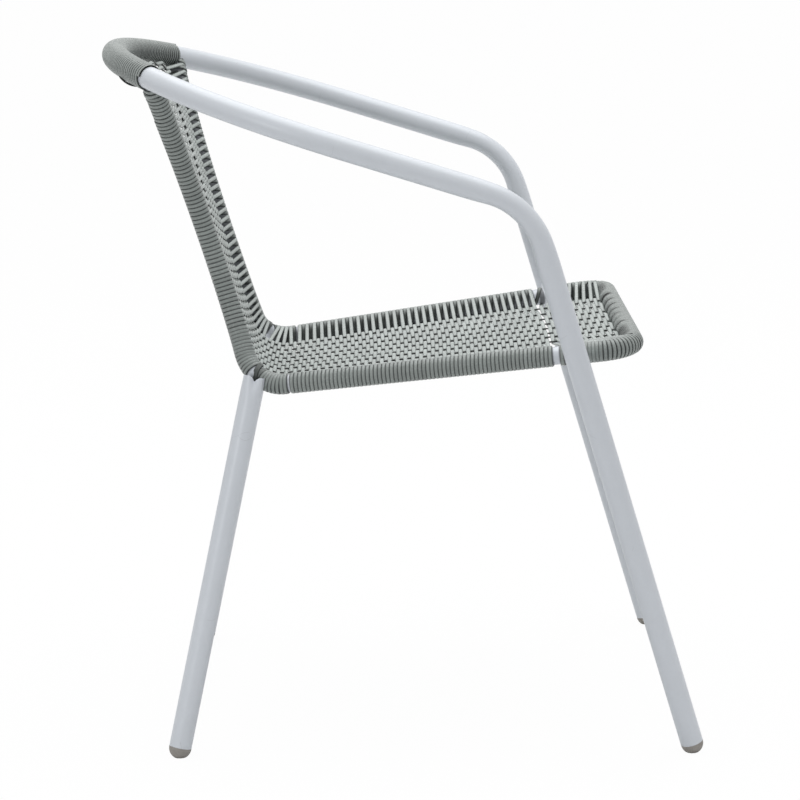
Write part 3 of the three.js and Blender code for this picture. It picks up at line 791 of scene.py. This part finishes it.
def woven_strand():
    """Grey synthetic rattan: fine ribs along the strand, tone that changes slowly along it, painted
    shade in grooves and cavities and painted light on the woven strands, both by the mesh's shade,
    and dust on top."""
    material, graph, output = new_material("grey_strand")
    coordinates = graph.new("TexCoord").outputs
    place = coordinates["Object"]
    surface = graph.placed(uneven, place, Scale=60.0, Amount=0.12, Bump=0.2)
    settled = graph.placed(dust, place, Amount=0.10)
    round_share = graph.part(coordinates["UV"], "X")
    ribs = graph.maths("SINE", graph.times(round_share, 2 * math.pi * STRAND_RIBS))
    ribbed = graph.fed(graph.bump(ribs, 0.25), {"Normal": surface["Normal"]})
    tone = graph.new("TexNoise")
    tone.noise_dimensions = "1D"
    graph.fed(tone, {"Scale": 9.0, "W": graph.part(coordinates["UV"], "Y")})
    lengthwise = graph.maths("MULTIPLY_ADD", tone.outputs["Fac"], TONE_SWING, TONE_LOWEST)
    shade = graph.maths("MAXIMUM", graph.shade(), LOWEST_SHADE)
    value = graph.times(graph.times(lengthwise, shade), surface["Value"])
    colour = graph.mixed("MULTIPLY", 1.0, (*STRAND_COLOUR, 1), value)
    graph.surface(output, {
        "Base Color": graph.mixed("MIX", settled["Mask"], colour, (*STRAND_DUST, 1)),
        "Roughness": graph.times(surface["Value"], STRAND_ROUGHNESS),
        "Normal": ribbed.outputs["Normal"],
        "Specular IOR Level": graph.times(shade, 0.5),
    })
    return material


def cap_plastic():
    """Grey plastic of the foot caps, grainy and worn lighter where it stands."""
    material, graph, output = new_material("cap_plastic")
    place = graph.new("TexCoord").outputs["Object"]
    surface = graph.placed(uneven, place, Scale=120.0, Amount=0.25, Bump=0.5)
    low = graph.maths("LESS_THAN", graph.part(place, "Z"), WORN_HEIGHT)
    worn = graph.times(low, graph.noise(place, 400.0))
    colour = graph.mixed("MULTIPLY", 1.0, (*CAP_COLOUR, 1), surface["Value"])
    graph.surface(output, {
        "Base Color": graph.mixed("MIX", worn, colour, (*CAP_WORN, 1)),
        "Roughness": graph.times(surface["Value"], CAP_ROUGHNESS),
        "Normal": surface["Normal"],
    })
    return material


paint = painted_steel()
strand = woven_strand()
plastic = cap_plastic()


# Tubes
cap_dome = math.sqrt(ARM_RADIUS ** 2 - CAP_CONTACT_RADIUS ** 2)


def leg_end(foot, up):
    """Where a leg's tube ends: above the cap's dome and collar."""
    return foot + up * (cap_dome / up[2] + CAP_COLLAR)


def arm_tube():
    """Front legs, arms and bow. The tube is a little flattened where it is bent over to the arm."""
    line = arms.copy()
    line[0] = leg_end(FRONT_FOOT, front_leg_up)
    line[-1] = line[0] * MIRROR
    points = resampled(line, 5)
    run = run_lengths(points)
    middle = run_lengths(line)[1 + len(arm_bend) // 2]
    from_bend = np.minimum(np.abs(run - middle), np.abs(run[-1] - middle - run))
    flattening = np.exp(-(from_bend / (ARM_BEND_RADIUS * ARM_FLATTENING_REACH)) ** 4)
    flattening = ARM_BEND_FLATTENING * flattening
    face = np.cross(Y, directions(points)) * np.sign(points[:, 1:2])
    bow_share = ramp(np.abs(points[:, 1:2]), *ARM_FACE_RAMP)
    face = unit(face * bow_share + arm_normal * (1 - bow_share))
    scale = 1 + flattening[:, None, None] * np.array([1 / 3, -1.0])
    mesh = tube_mesh(points, face, ARM_RADIUS, scale)
    add_piece("arm_and_front_leg_bends", *mesh, paint, "tube_paint", ["arm_and_front_leg_tube"])


def frame_tube():
    """Uprights, rear bends, rails and front rail, in one tube whose ends meet the bow's. Its mesh
    shade paints shade on it where strand is wound on it."""
    end = frame_left.run[-1]
    run = np.linspace(ARM_RADIUS * INTO_BOW_SHARE, end, int(end / 1.5))
    half, normal, _ = frame_left.at(run)
    from_strand = np.abs(run[:, None] - wound).min(axis=1)
    covered = (from_strand < UNDER_WINDING_REACH) | (run < TOP_WRAP_GAP) | (run > wound[0])
    # Painted shade on the tube where strand is wound on it
    shade = np.where(covered, UNDER_WINDING_SHADE, 1.0)
    points = np.concatenate([half, (half * MIRROR)[::-1][1:]])
    normal = np.concatenate([normal, (normal * MIRROR)[::-1][1:]])
    shade = np.concatenate([shade, shade[::-1][1:]])
    mesh = tube_mesh(points, normal, SEAT_TUBE_RADIUS, sides=SEAT_TUBE_SIDES)
    shade = np.repeat(np.concatenate([shade, shade[::-1]]), SEAT_TUBE_SIDES)
    add_piece("seat_and_back_bends", *mesh, paint, "tube_paint", ["seat_and_back_frame_tube"], shade=shade)


arm_tube()
frame_tube()

bend_middle, _, _ = frame_left.at((BEND_TOP + BEND_BOTTOM) / 2)
rear_weld = bend_middle - REAR_LEG_SETBACK * X + REAR_LEG_OUTSET * Y
rear_leg_up = unit(rear_weld - REAR_FOOT)


def on_side(side, points, faces):
    """Points and faces of the left side's piece for a side: the right one's are mirrored, and their
    faces turned over."""
    if side > 0:
        return points, faces
    return points * MIRROR, [face[::-1] for face in faces]


def rear_leg(side, name):
    """Straight leg, crushed and notched at its top where it is welded to the frame's bend. The dent
    and the notch fall off with the square of the angle from the outward side, as a bell curve, and
    two ridges stand beside them."""
    start = leg_end(REAR_FOOT, rear_leg_up)
    end = rear_weld + REAR_LEG_RISE * rear_leg_up
    points = resampled(np.array([start, end]), 3)
    run = run_lengths(points)
    crushed = ramp(run, run[-1] - REAR_LEG_CRUSH, REAR_LEG_CRUSH)[:, None] ** 2
    from_outward = (2 * math.pi * np.arange(REAR_LEG_SIDES) / REAR_LEG_SIDES - math.pi)[None, :]
    dent = bell(from_outward, *REAR_LEG_DENT_BELL)
    ridges = bell(np.abs(from_outward), *REAR_LEG_RIDGE_BELL)
    dents = REAR_LEG_RIDGE * ridges - REAR_LEG_SQUEEZE - dent * REAR_LEG_DENT / ARM_RADIUS
    scale = 1 + crushed * dents
    lobes = dent + REAR_LEG_LOBE * (from_outward / math.pi) ** 4
    lift = -REAR_LEG_NOTCH * lobes * crushed ** 2
    face = np.tile(X, (len(points), 1))
    mesh = tube_mesh(points, face, ARM_RADIUS, scale[..., None], lift[..., None], REAR_LEG_SIDES)
    add_piece(f"{name}_rear_leg", *on_side(side, *mesh), paint, "tube_paint", [f"{name}_rear_leg_tube"])


leg_lean = front_leg_up[0] / front_leg_up[2]
link_x = (FRONT_FOOT[0] + leg_lean * rail_point(0)[2]) / (1 - leg_lean * seat_slope)
link_rail_point = rail_point(link_x)
link_leg_point = FRONT_FOOT + front_leg_up * link_rail_point[2] / front_leg_up[2]


def seat_link(side, name):
    """Short stub between the seat rail and the front leg, inside both of their skins at its ends."""
    way = unit(link_leg_point - link_rail_point)
    start = link_rail_point + way * SEAT_TUBE_RADIUS * LINK_END_SHARE
    end = link_leg_point - way * ARM_RADIUS * LINK_END_SHARE
    points = resampled(np.array([start, end]), 4)
    mesh = tube_mesh(points, np.tile(X, (len(points), 1)), LINK_RADIUS, sides=SEAT_TUBE_SIDES)
    add_piece(f"{name}_seat_stub", *on_side(side, *mesh), paint, "tube_paint", [f"{name}_seat_link"])


def foot_cap(foot, up, side, name):
    """Domed cap turned from a half profile of radii and heights: a flat worn disc, a quarter circle
    whose lowest part the floor cuts away, and a short collar below the tube's end."""
    centre = foot + up * cap_dome / up[2]
    angle = np.linspace(0, math.pi / 2, 14)
    dome = ARM_RADIUS * np.stack([np.sin(angle), -np.cos(angle)], axis=1)
    top = CAP_COLLAR + CAP_OVERLAP
    collar = [(ARM_RADIUS, CAP_COLLAR * CAP_COLLAR_ROUND), (ARM_RADIUS - TUBE_WALL, top)]
    radius, height = np.concatenate([dome, collar, [(CAP_TIP_RADIUS, top)]]).T
    radius[0] = CAP_TIP_RADIUS
    side_way = unit(np.cross(Y, up))
    other_way = np.cross(up, side_way)
    turn = circle(1.0, CAP_SIDES)
    ring = side_way * turn[:, :1] + other_way * turn[:, 1:]
    points = centre + radius[:, None, None] * ring + height[:, None, None] * up
    points[..., 2] = np.maximum(points[..., 2], 0)
    mesh = on_side(side, points.reshape(-1, 3), closed_grid(len(radius), CAP_SIDES))
    add_piece(f"{name}_cap", *mesh, plastic, "foot_cap", [f"{name}_foot_cap"])


for side, name in ((1, "left"), (-1, "right")):
    rear_leg(side, name)
    seat_link(side, name)
    foot_cap(FRONT_FOOT, front_leg_up, side, f"{name}_front")
    foot_cap(REAR_FOOT, rear_leg_up, side, f"{name}_rear")


# Weave
def wrap_thickness(distance):
    """Thickness of the strand that is wound on the frame: thinner on the uprights, where it is
    pulled flat, with small steps where a new length of strand begins."""
    on_upright = ramp(distance, BEND_TOP, -UPRIGHT_WRAP_FADE)
    thickness = RAIL_WRAP_THICKNESS + (UPRIGHT_WRAP_THICKNESS - RAIL_WRAP_THICKNESS) * on_upright
    for start, length, extra in WRAP_STEPS:
        into = (distance - start) / length
        thickness = thickness + extra * np.where((into > 0) & (into < 1), 1 - into, 0)
    return thickness


def passes(first):
    """1 where every second crossing goes over a lengthwise strand, and -1 where it goes under."""
    return np.where((np.arange(len(WEFT_SHARES)) + first) % 2 == 0, -1.0, 1.0)


def weft_shares(stations):
    """Shares of the lengthwise strands at some stations: from the seat's to even ones over the rear
    bend, and on to the upper back's, which leave an open column in the middle."""
    above_bend = BEND_TOP - np.asarray(stations, float)[:, None]
    in_back = ramp(above_bend, *LOWER_SHARES_RAMP)
    in_upper = ramp(above_bend, *UPPER_SHARES_RAMP)
    in_upper = in_upper ** 2 * (3 - 2 * in_upper)
    lower = WEFT_SHARES + (LOWER_WEFT_SHARES - WEFT_SHARES) * in_back
    return lower + (UPPER_WEFT_SHARES - LOWER_WEFT_SHARES) * in_upper


def bulged(stations, shares):
    """Stations moved by the bulge of a crossing: forward over most of the seat, to the rear beside
    the front rail, down in the lower back, and nothing near the rear bend."""
    rearward = FRONT_BULGE_FACTOR * ramp(stations, on_rail(FRONT_BULGE_X), FRONT_BULGE_OVER)
    forward = ramp(stations, BEND_BOTTOM, SEAT_BULGE_OVER) - rearward
    above_bend = BEND_TOP - stations
    down = LOWER_BULGE_FACTOR * ramp(above_bend, *LOWER_BULGE_TOP_RAMP)
    down = down * ramp(above_bend, *LOWER_BULGE_BOTTOM_RAMP)
    return stations + CROSSING_BULGE * (1 - (shares / CROSSING_BULGE_SHARE) ** 2) * (forward + down)


def tangent_angle(centre, normal, out, towards, from_top):
    """Angle round the tube, from the weave's normal outwards, where a straight strand to a point
    leaves the winding: the point's own angle less the angle whose cosine is radius over distance."""
    offset = towards - centre
    inward, rise = -dot(offset, out)[..., 0], dot(offset, normal)[..., 0]
    if not from_top:
        rise = -rise
    angle = np.arctan2(inward, rise) - np.arccos(WRAP_RADIUS / np.hypot(inward, rise))
    return -angle if from_top else math.pi + angle


def frame_at(distance, side):
    """Centre, normal and outward direction of the frame's left half, 1, or right half, -1."""
    return tuple(row * BOTH_SIDES[side] for row in frame_left.at(distance))


def round_tube(centre, normal, out, angle, radius=WRAP_RADIUS):
    """Point on a circle round the tube, and its outward direction, by the angle from the normal."""
    away = normal * np.cos(angle)[..., None] + out * np.sin(angle)[..., None]
    return centre + radius * away, away


def winding(first, second, start_angle, end_angle, side):
    """One and a half turns round a side's rail, from one crossing's station to the next one's. The
    strand moves on while it is at the inner side, so that the outer passes lie square to the tube.
    Returns points, face directions, open shares, open sides and thicknesses."""
    t = np.linspace(0, 1, WINDING_SAMPLES + 2)[None, 1:-1]
    angle = start_angle[:, None] + (end_angle - 2 * math.pi - start_angle)[:, None] * t
    turns = (math.pi / 2 - angle) / (2 * math.pi)
    whole = np.floor(turns)
    moved = np.clip(whole + np.clip((turns - whole - 0.25) * 2, 0, 1), 0, 1)
    distance = first[:, None] + (second - first)[:, None] * moved + WRAP_LEAN * np.cos(angle)
    thickness = wrap_thickness(distance)
    radius = (SEAT_TUBE_RADIUS + thickness / 2)[..., None]
    points, away = round_tube(*frame_at(distance, side), angle, radius)
    # Painted shade on the winding's inner side, and a little more in the lower back
    opened = np.clip(np.sin(angle) * WRAP_SHADE_SWING + WRAP_SHADE_MEAN, 0, 1)
    from_lower_back = np.abs(distance - BEND_TOP + LOWER_BACK_RISE)
    opened = opened - LOWER_BACK_SHADE * ramp(from_lower_back, *LOWER_BACK_RAMP)
    return points, side * away, opened, np.full_like(opened, side), thickness


def rounded_waypoints(points):
    """Each inner corner of a line of waypoints becomes five points of the quadratic curve that
    leaves and meets the straight parts at WEFT_BEND_REACH from the corner, and one more point on
    both straight parts."""
    here, before, after = points[:, 1:-1], points[:, :-2], points[:, 2:]
    to_before, to_after = unit(before - here) * WEFT_BEND_REACH, unit(after - here) * WEFT_BEND_REACH
    start, end = here + to_before, here + to_after
    t = np.linspace(0, 1, CORNER_SAMPLES - 2)[None, None, :, None]
    curve = (1 - t) ** 2 * start[:, :, None] + 2 * t * (1 - t) * here[:, :, None]
    curve = curve + t ** 2 * end[:, :, None]
    before, after = start + to_before * WEFT_BEND_LEAD, end + to_after * WEFT_BEND_LEAD
    curve = np.concatenate([before[:, :, None], curve, after[:, :, None]], axis=2)
    return np.concatenate([points[:, :1], curve.reshape(len(points), -1, 3), points[:, -1:]], axis=1)


def crossings(first):
    """Every second crossing, from the left rail's winding over and under the lengthwise strands in
    turn to the right rail's. The middle of a crossing bulges forward a little. Returns points, face
    directions and open sides, and the angles where it leaves the left winding and meets the right
    one."""
    on_left, on_right = left_wound[first::2], wound[first::2]
    over = passes(first)
    shares = weft_shares(middle[first::2])
    distance = bulged(middle[first::2, None], shares)
    normal = sheet_normal(distance, shares)
    points = sheet_point(distance, shares) + WEAVE_RISE * over[None, :, None] * normal
    left = tangent_angle(*frame_at(on_left, 1), points[:, 0], first == 0)
    right = tangent_angle(*frame_at(on_right, -1), points[:, -1], first == 1)
    start, _ = round_tube(*frame_at(on_left, 1), left)
    end, _ = round_tube(*frame_at(on_right, -1), right)
    points = rounded_waypoints(np.concatenate([start[:, None], points, end[:, None]], axis=1))
    face = np.repeat(normal, CORNER_SAMPLES, axis=1)
    face = np.concatenate([face[:, :1], face, face[:, -1:]], axis=1)
    side = 1.0 if first == 0 else -1.0
    side = np.concatenate([[side], (over[:, None] * CORNER_BELL).ravel(), [-side]])
    return points, face, np.broadcast_to(side, points.shape[:2]), left, right


def cross_strand():
    """The crossing strand, in cycles of four stretches: a crossing from the left rail's top to the
    right rail's underside, a winding there, a crossing back from the right rail's top to the left
    rail's underside, and a winding there. Returns points, face directions, open shares, open sides
    and thicknesses, by cycle."""
    n = (CROSSINGS - 1) // 2
    odd, odd_face, odd_side, odd_left, odd_right = crossings(0)
    even, even_face, even_side, even_left, even_right = crossings(1)
    # Painted light on the woven stretches, from their open share above one
    woven = np.full((n, odd.shape[1]), WOVEN_LIGHT_SHARE)
    thickness = np.full((n, odd.shape[1]), STRAND_THICKNESS)
    stretches = [
        (odd[:n], odd_face[:n], woven, odd_side[:n], thickness),
        winding(wound[0::2][:n], wound[1::2][:n], odd_right[:n], even_right[:n], -1),
        (even[:n, ::-1], -even_face[:n, ::-1], woven, -even_side[:n, ::-1], thickness),
        winding(left_wound[1::2][:n], left_wound[2::2][:n], even_left[:n], odd_left[1:n + 1], 1),
    ]
    return [np.concatenate(rows, axis=1) for rows in zip(*stretches)]


def weave_pieces():
    """The cross strand in four lengths, front to back. Each runs on to the next one's first point."""
    points, face, opened, side, thickness = cross_strand()
    cycles, samples = opened.shape
    points, face, opened = points.reshape(-1, 3), face.reshape(-1, 3), opened.ravel()
    side, thickness = side.ravel(), thickness.ravel()
    grooves = np.where(opened > 1, WOVEN_GROOVE_SHADE, GROOVE_SHADE)
    lengths = [
        ("front_seat", ["woven_seat_and_back"]),
        ("rear_seat", ["left_seat_rail_winding", "right_seat_rail_winding"]),
        ("lower_back", ["left_short_rail_winding", "right_short_rail_winding"]),
        ("upper_back", ["left_upright_winding", "right_upright_winding"]),
    ]
    for k, (name, nodes) in enumerate(lengths):
        part = slice(k * cycles // 4 * samples, (k + 1) * cycles // 4 * samples + 1)
        mesh = strand_mesh(
            points[part], face[part], STRAND, opened[part], side[part], thickness[part], grooves[part])
        add_strand(f"{name}_cross_strand", mesh, nodes)


def weft_pieces():
    """The lengthwise strands, passing between the crossings that go over and under them, and on
    to the bow."""
    parts = []
    profile = strand_profile(WEFT_THICKNESS)
    crossed_shares = weft_shares(middle[:-1])
    to_bow = np.arange(middle[-1] - WEFT_STEP, WEFT_TOP, -WEFT_STEP)
    to_rail = on_rail(SEAT_FRONT_X - SEAT_TUBE_RADIUS * WEFT_FRONT_SETBACK)
    for j in range(len(WEFT_SHARES)):
        station = np.concatenate([[to_rail], bulged(middle[:-1], crossed_shares[:, j]), to_bow])
        order = np.arange(len(station))
        shares = weft_shares(station)[:, j]
        rise = WEFT_RISE * np.where((order + j) % 2 == 0, -1.0, 1.0)
        rise[0] = -SEAT_TUBE_RADIUS * WEFT_FRONT_DROP
        normal = sheet_normal(station, shares)
        knots = sheet_point(station, shares) + rise[:, None] * normal
        run = np.linspace(0, order[-1], WEFT_SAMPLES * len(order))
        line, face = between(run, order, knots), between(run, order, normal)
        line[1:-1] = (line[:-2] + 2 * line[1:-1] + line[2:]) / 4
        # Painted shade: the crossed part of each lengthwise strand is fully shaded
        opened = np.where(run < order[-1] - len(to_bow), WEFT_SHADE, 1.0)
        parts.append(strand_mesh(line, face, profile, opened, 0.0))
    add_strand("lengthwise_strands", joined(parts))


def helix(line_at, start, end, pitch, radius, first_angle, samples_per_turn=22):
    """A strand wound round a tube: the angle grows evenly with the distance along the tube."""
    turns = (end - start) / pitch
    t = np.linspace(0, 1, int(turns * samples_per_turn))
    centre, normal, out = line_at(start + (end - start) * t)
    return round_tube(centre, normal, out, first_angle - 2 * math.pi * turns * t, radius)


def bow_winding():
    """Strand wound closely round the bow, and a loop of it that hangs below the right end. It has
    painted shade on its inner side, below on the far half and above at the near end, and the loop
    has painted shade all along."""
    run, along = run_lengths(arms), directions(arms)
    reach = BOW_RADIUS * math.asin(BOW_WRAP_SPACING / BOW_RADIUS)
    start, end = run[-1] / 2 - reach, run[-1] / 2 + reach

    def line_at(distance):
        way = unit(between(distance, run, along))
        normal = unit(arm_normal - dot(arm_normal, way) * way)
        return between(distance, run, arms), normal, np.cross(normal, way)

    radius = ARM_RADIUS + STRAND_THICKNESS / 2
    points, away = helix(line_at, start, end, BOW_WRAP_PITCH, radius, 0.0, BOW_TURN_SAMPLES)
    inner = np.clip(dot(away, unit(bow_centre - points))[:, 0], 0, 1)
    on_far_half = ramp(points[:, 1], 0, BOW_FAR_FADE)
    low = ramp(away[:, 2], *BOW_LOW_RAMP) * inner ** 0.5 * on_far_half
    near_end = ramp(-points[:, 1], *BOW_END_RAMP) * ramp(away[:, 2], *BOW_END_HIGH_RAMP)
    # Painted shade in the grooves: below on the far half and above at the near end
    grooves = GROOVE_SHADE - BOW_LOW_SHADE * low - BOW_END_SHADE * near_end
    opened = 1 - BOW_INNER_SHADE * inner ** 1.5 * on_far_half
    wound_bow = strand_mesh(points, away, open_share=opened, groove_shade=grooves)
    t = np.linspace(0, 1, LOOP_SAMPLES)
    angle = math.pi + LOOP_SWING * np.cos(math.pi * t)
    radius = (ARM_RADIUS + STRAND_THICKNESS + LOOP_SAG * np.sin(math.pi * t))[:, None]
    points, away = round_tube(*line_at(end - LOOP_START + LOOP_LENGTH * t), angle, radius)
    # The loop is in painted shade
    loop = strand_mesh(points, away, open_share=KNOT_AND_LOOP_SHADE_SHARE)
    add_strand("bow_strand", joined([wound_bow, loop]), ["bow_winding"])


def front_winding():
    """Strand wound round the front corners and the front rail, beyond the last crossing. On the
    inner side it bulges over the end of each lengthwise strand, as a bell curve of the distance
    from it, and has painted shade in between, deepest in narrow painted slits."""
    full = frame_left.run[-1]

    def line_at(distance):
        far = distance > full
        rows = frame_left.at(np.where(far, 2 * full - distance, distance))
        return [row * np.where(far[..., None], MIRROR, 1.0) for row in rows]

    start, end = left_wound[0] + FRONT_WOUND_PITCH, 2 * full - (wound[0] + FRONT_WOUND_PITCH)
    points, away = helix(line_at, start, end, FRONT_WRAP_PITCH, WRAP_RADIUS, 0.0)
    inner = ramp(-away[:, 0], *FRONT_INNER_RAMP)
    ends = WEFT_SHARES * (SEAT_FRONT_SPACING - FRONT_LUMP_INSET)
    lump = bell(points[:, 1:2], ends, FRONT_LUMP_LENGTH).max(axis=1)
    spacing = np.abs(points[:, 1])
    on_front = ramp(spacing, *FRONT_STRAIGHT_RAMP)
    points = points + away * (FRONT_LUMP * on_front * lump * inner)[:, None]
    slit_shade = SLIT_SHADE * ramp(away[:, 0], *SLIT_SIDE_RAMP) * ramp(lump, *SLIT_LUMP_RAMP) ** 7
    slit_shade *= ramp(spacing, *SLIT_SPACING_RAMP)
    # Painted shade between the lumps and in narrow slits
    between_lumps = np.clip(3 * inner * (1 - lump) ** 1.5, 0, 0.95)
    opened = 1 - on_front * np.maximum(between_lumps, slit_shade)
    mesh = strand_mesh(
        points, away, open_share=opened, thickness=RAIL_WRAP_THICKNESS, groove_shade=FRONT_GROOVE_SHADE)
    add_strand("front_rail_strand", mesh, ["front_rail_winding"])


def tied_ends():
    """On each side, a strand that slants over the winding at the upright's top, and turns in deep
    painted shade on the rear bend between the upright's winding and the rail's, with one more turn
    in painted shade. Two strands that run straight across, in painted shade, fill the back up to the
    bow."""
    parts = []

    def tie(mirror, origin, way, samples=22, **looks):
        """One tied strand, from its two ends' distances beyond an origin, its pitch, how far it
        lies beyond a winding, and its first angle."""
        start, end, pitch, lift, angle = way
        start, end = origin + start, origin + end
        points, away = helix(frame_left.at, start, end, pitch, WRAP_RADIUS + lift, angle, samples)
        parts.append(strand_mesh(points * mirror, away * mirror, **looks))

    for mirror in BOTH_SIDES.values():
        tie(mirror, 0, TOP_TIE, thickness=TOP_TIE_THICKNESS)
        for way in KNOT_TURNS:
            tie(mirror, wound[KNOT_AT], way, KNOT_TURN_SAMPLES, open_share=DEEP_KNOT_SHADE_SHARE)
        tie(mirror, wound[KNOT_AT], KNOT_WRAP, open_share=KNOT_AND_LOOP_SHADE_SHARE)
    across = np.linspace(-1, 1, FILLER_SAMPLES)
    for station in FILLER_STATIONS:
        points, face = sheet_point(station, across), sheet_normal(station, across)
        parts.append(strand_mesh(points, face, open_share=FILLER_SHADE_SHARE))
    add_strand("tied_strand_ends", joined(parts))


weave_pieces()
weft_pieces()
tied_ends()
bow_winding()
front_winding()

# Floor, lights and camera
LENS_PIXELS = 2629.4
IMAGE_PIXELS = 800
SENSOR = 36.0
CAMERA_PLACE = np.array([-55.0, -2778.2, 899.5])
CAMERA_PITCH = 0.2038
CAMERA_YAW = 0.0049
CAMERA_ROLL = -0.0227
FLOOR_REACH = 60.0
FLOOR_GLOW = 0.97
SKY_LIGHT = 0.95
EVEN_LIGHT = 0.22


def add_camera():
    """The photograph's own camera, as fitted to the chair: turned by yaw, pitch and roll."""
    data = bpy.data.cameras.new("photo_camera")
    data.sensor_width = SENSOR
    data.lens = LENS_PIXELS * SENSOR / IMAGE_PIXELS
    ahead = np.array([
        math.sin(CAMERA_YAW) * math.cos(CAMERA_PITCH), math.cos(CAMERA_YAW) * math.cos(CAMERA_PITCH),
        -math.sin(CAMERA_PITCH)])
    right = np.array([math.cos(CAMERA_YAW), -math.sin(CAMERA_YAW), 0])
    up = np.cross(right, ahead)
    cosine, sine = math.cos(CAMERA_ROLL), math.sin(CAMERA_ROLL)
    right, up = right * cosine + up * sine, up * cosine - right * sine
    turn = Matrix(np.stack([right, up, -ahead], axis=1).tolist()).to_4x4()
    camera = linked("photo_camera", data)
    camera.matrix_world = Matrix.Translation(in_frame(CAMERA_PLACE)) @ turn
    bpy.context.scene.camera = camera


def add_floor():
    """A wide white floor. The camera sees it almost white, with the chair's soft shadow on it."""
    material, graph, output = new_material("pale_floor")
    matt = graph.new("BsdfDiffuse", {"Color": (0.8, 0.8, 0.8, 1)}).outputs["BSDF"]
    glow = graph.new("Emission", {"Strength": 1.0}).outputs["Emission"]
    seen = graph.times(graph.new("LightPath").outputs["Is Camera Ray"], FLOOR_GLOW)
    graph.mixed_shaders(output, seen, matt, glow)
    mesh = bpy.data.meshes.new("floor")
    corners = [(-FLOOR_REACH, -FLOOR_REACH, 0), (FLOOR_REACH, -FLOOR_REACH, 0)]
    corners += [(FLOOR_REACH, FLOOR_REACH, 0), (-FLOOR_REACH, FLOOR_REACH, 0)]
    mesh.from_pydata(corners, [], [(0, 1, 2, 3)])
    mesh.materials.append(material)
    floor = linked("floor", mesh)


def add_world():
    """White where it is seen or mirrored, and a weaker light on everything else, brighter from
    above."""
    world = bpy.data.worlds.new("studio")
    bpy.context.scene.world = world
    world.use_nodes = True
    world.node_tree.nodes.clear()
    graph = Graph(world.node_tree)
    above = graph.maths("MAXIMUM", graph.part(graph.new("TexCoord").outputs["Generated"], "Z"), 0.0)
    strength = graph.maths("MULTIPLY_ADD", above, SKY_LIGHT, EVEN_LIGHT)
    light = graph.new("Background", {"Color": (1, 1, 1, 1), "Strength": strength}).outputs["Background"]
    white = graph.new("Background", {"Color": (1, 1, 1, 1), "Strength": 1.0}).outputs["Background"]
    path = graph.new("LightPath").outputs
    seen = graph.maths("MAXIMUM", path["Is Camera Ray"], path["Is Glossy Ray"])
    graph.mixed_shaders(graph.new("OutputWorld").inputs["Surface"], seen, light, white)


def add_lamp(name, place, target, size, power):
    """A square soft lamp that faces a point."""
    data = bpy.data.lights.new(name, "AREA")
    data.shape = "SQUARE"
    data.size = size
    data.energy = power
    lamp = linked(name, data)
    lamp.location = place
    lamp.rotation_euler = (Vector(target) - Vector(place)).to_track_quat("-Z", "Y").to_euler()


add_camera()
add_floor()
add_world()
add_lamp("overhead", (0.1, 0.4, 2.6), (0, 0, 0.4), 2.6, 37)
add_lamp("camera_side", (-1.7, -2.6, 1.0), (0, 0, 0.4), 0.3, 6)

bpy.context.scene.view_settings.view_transform = "Standard"
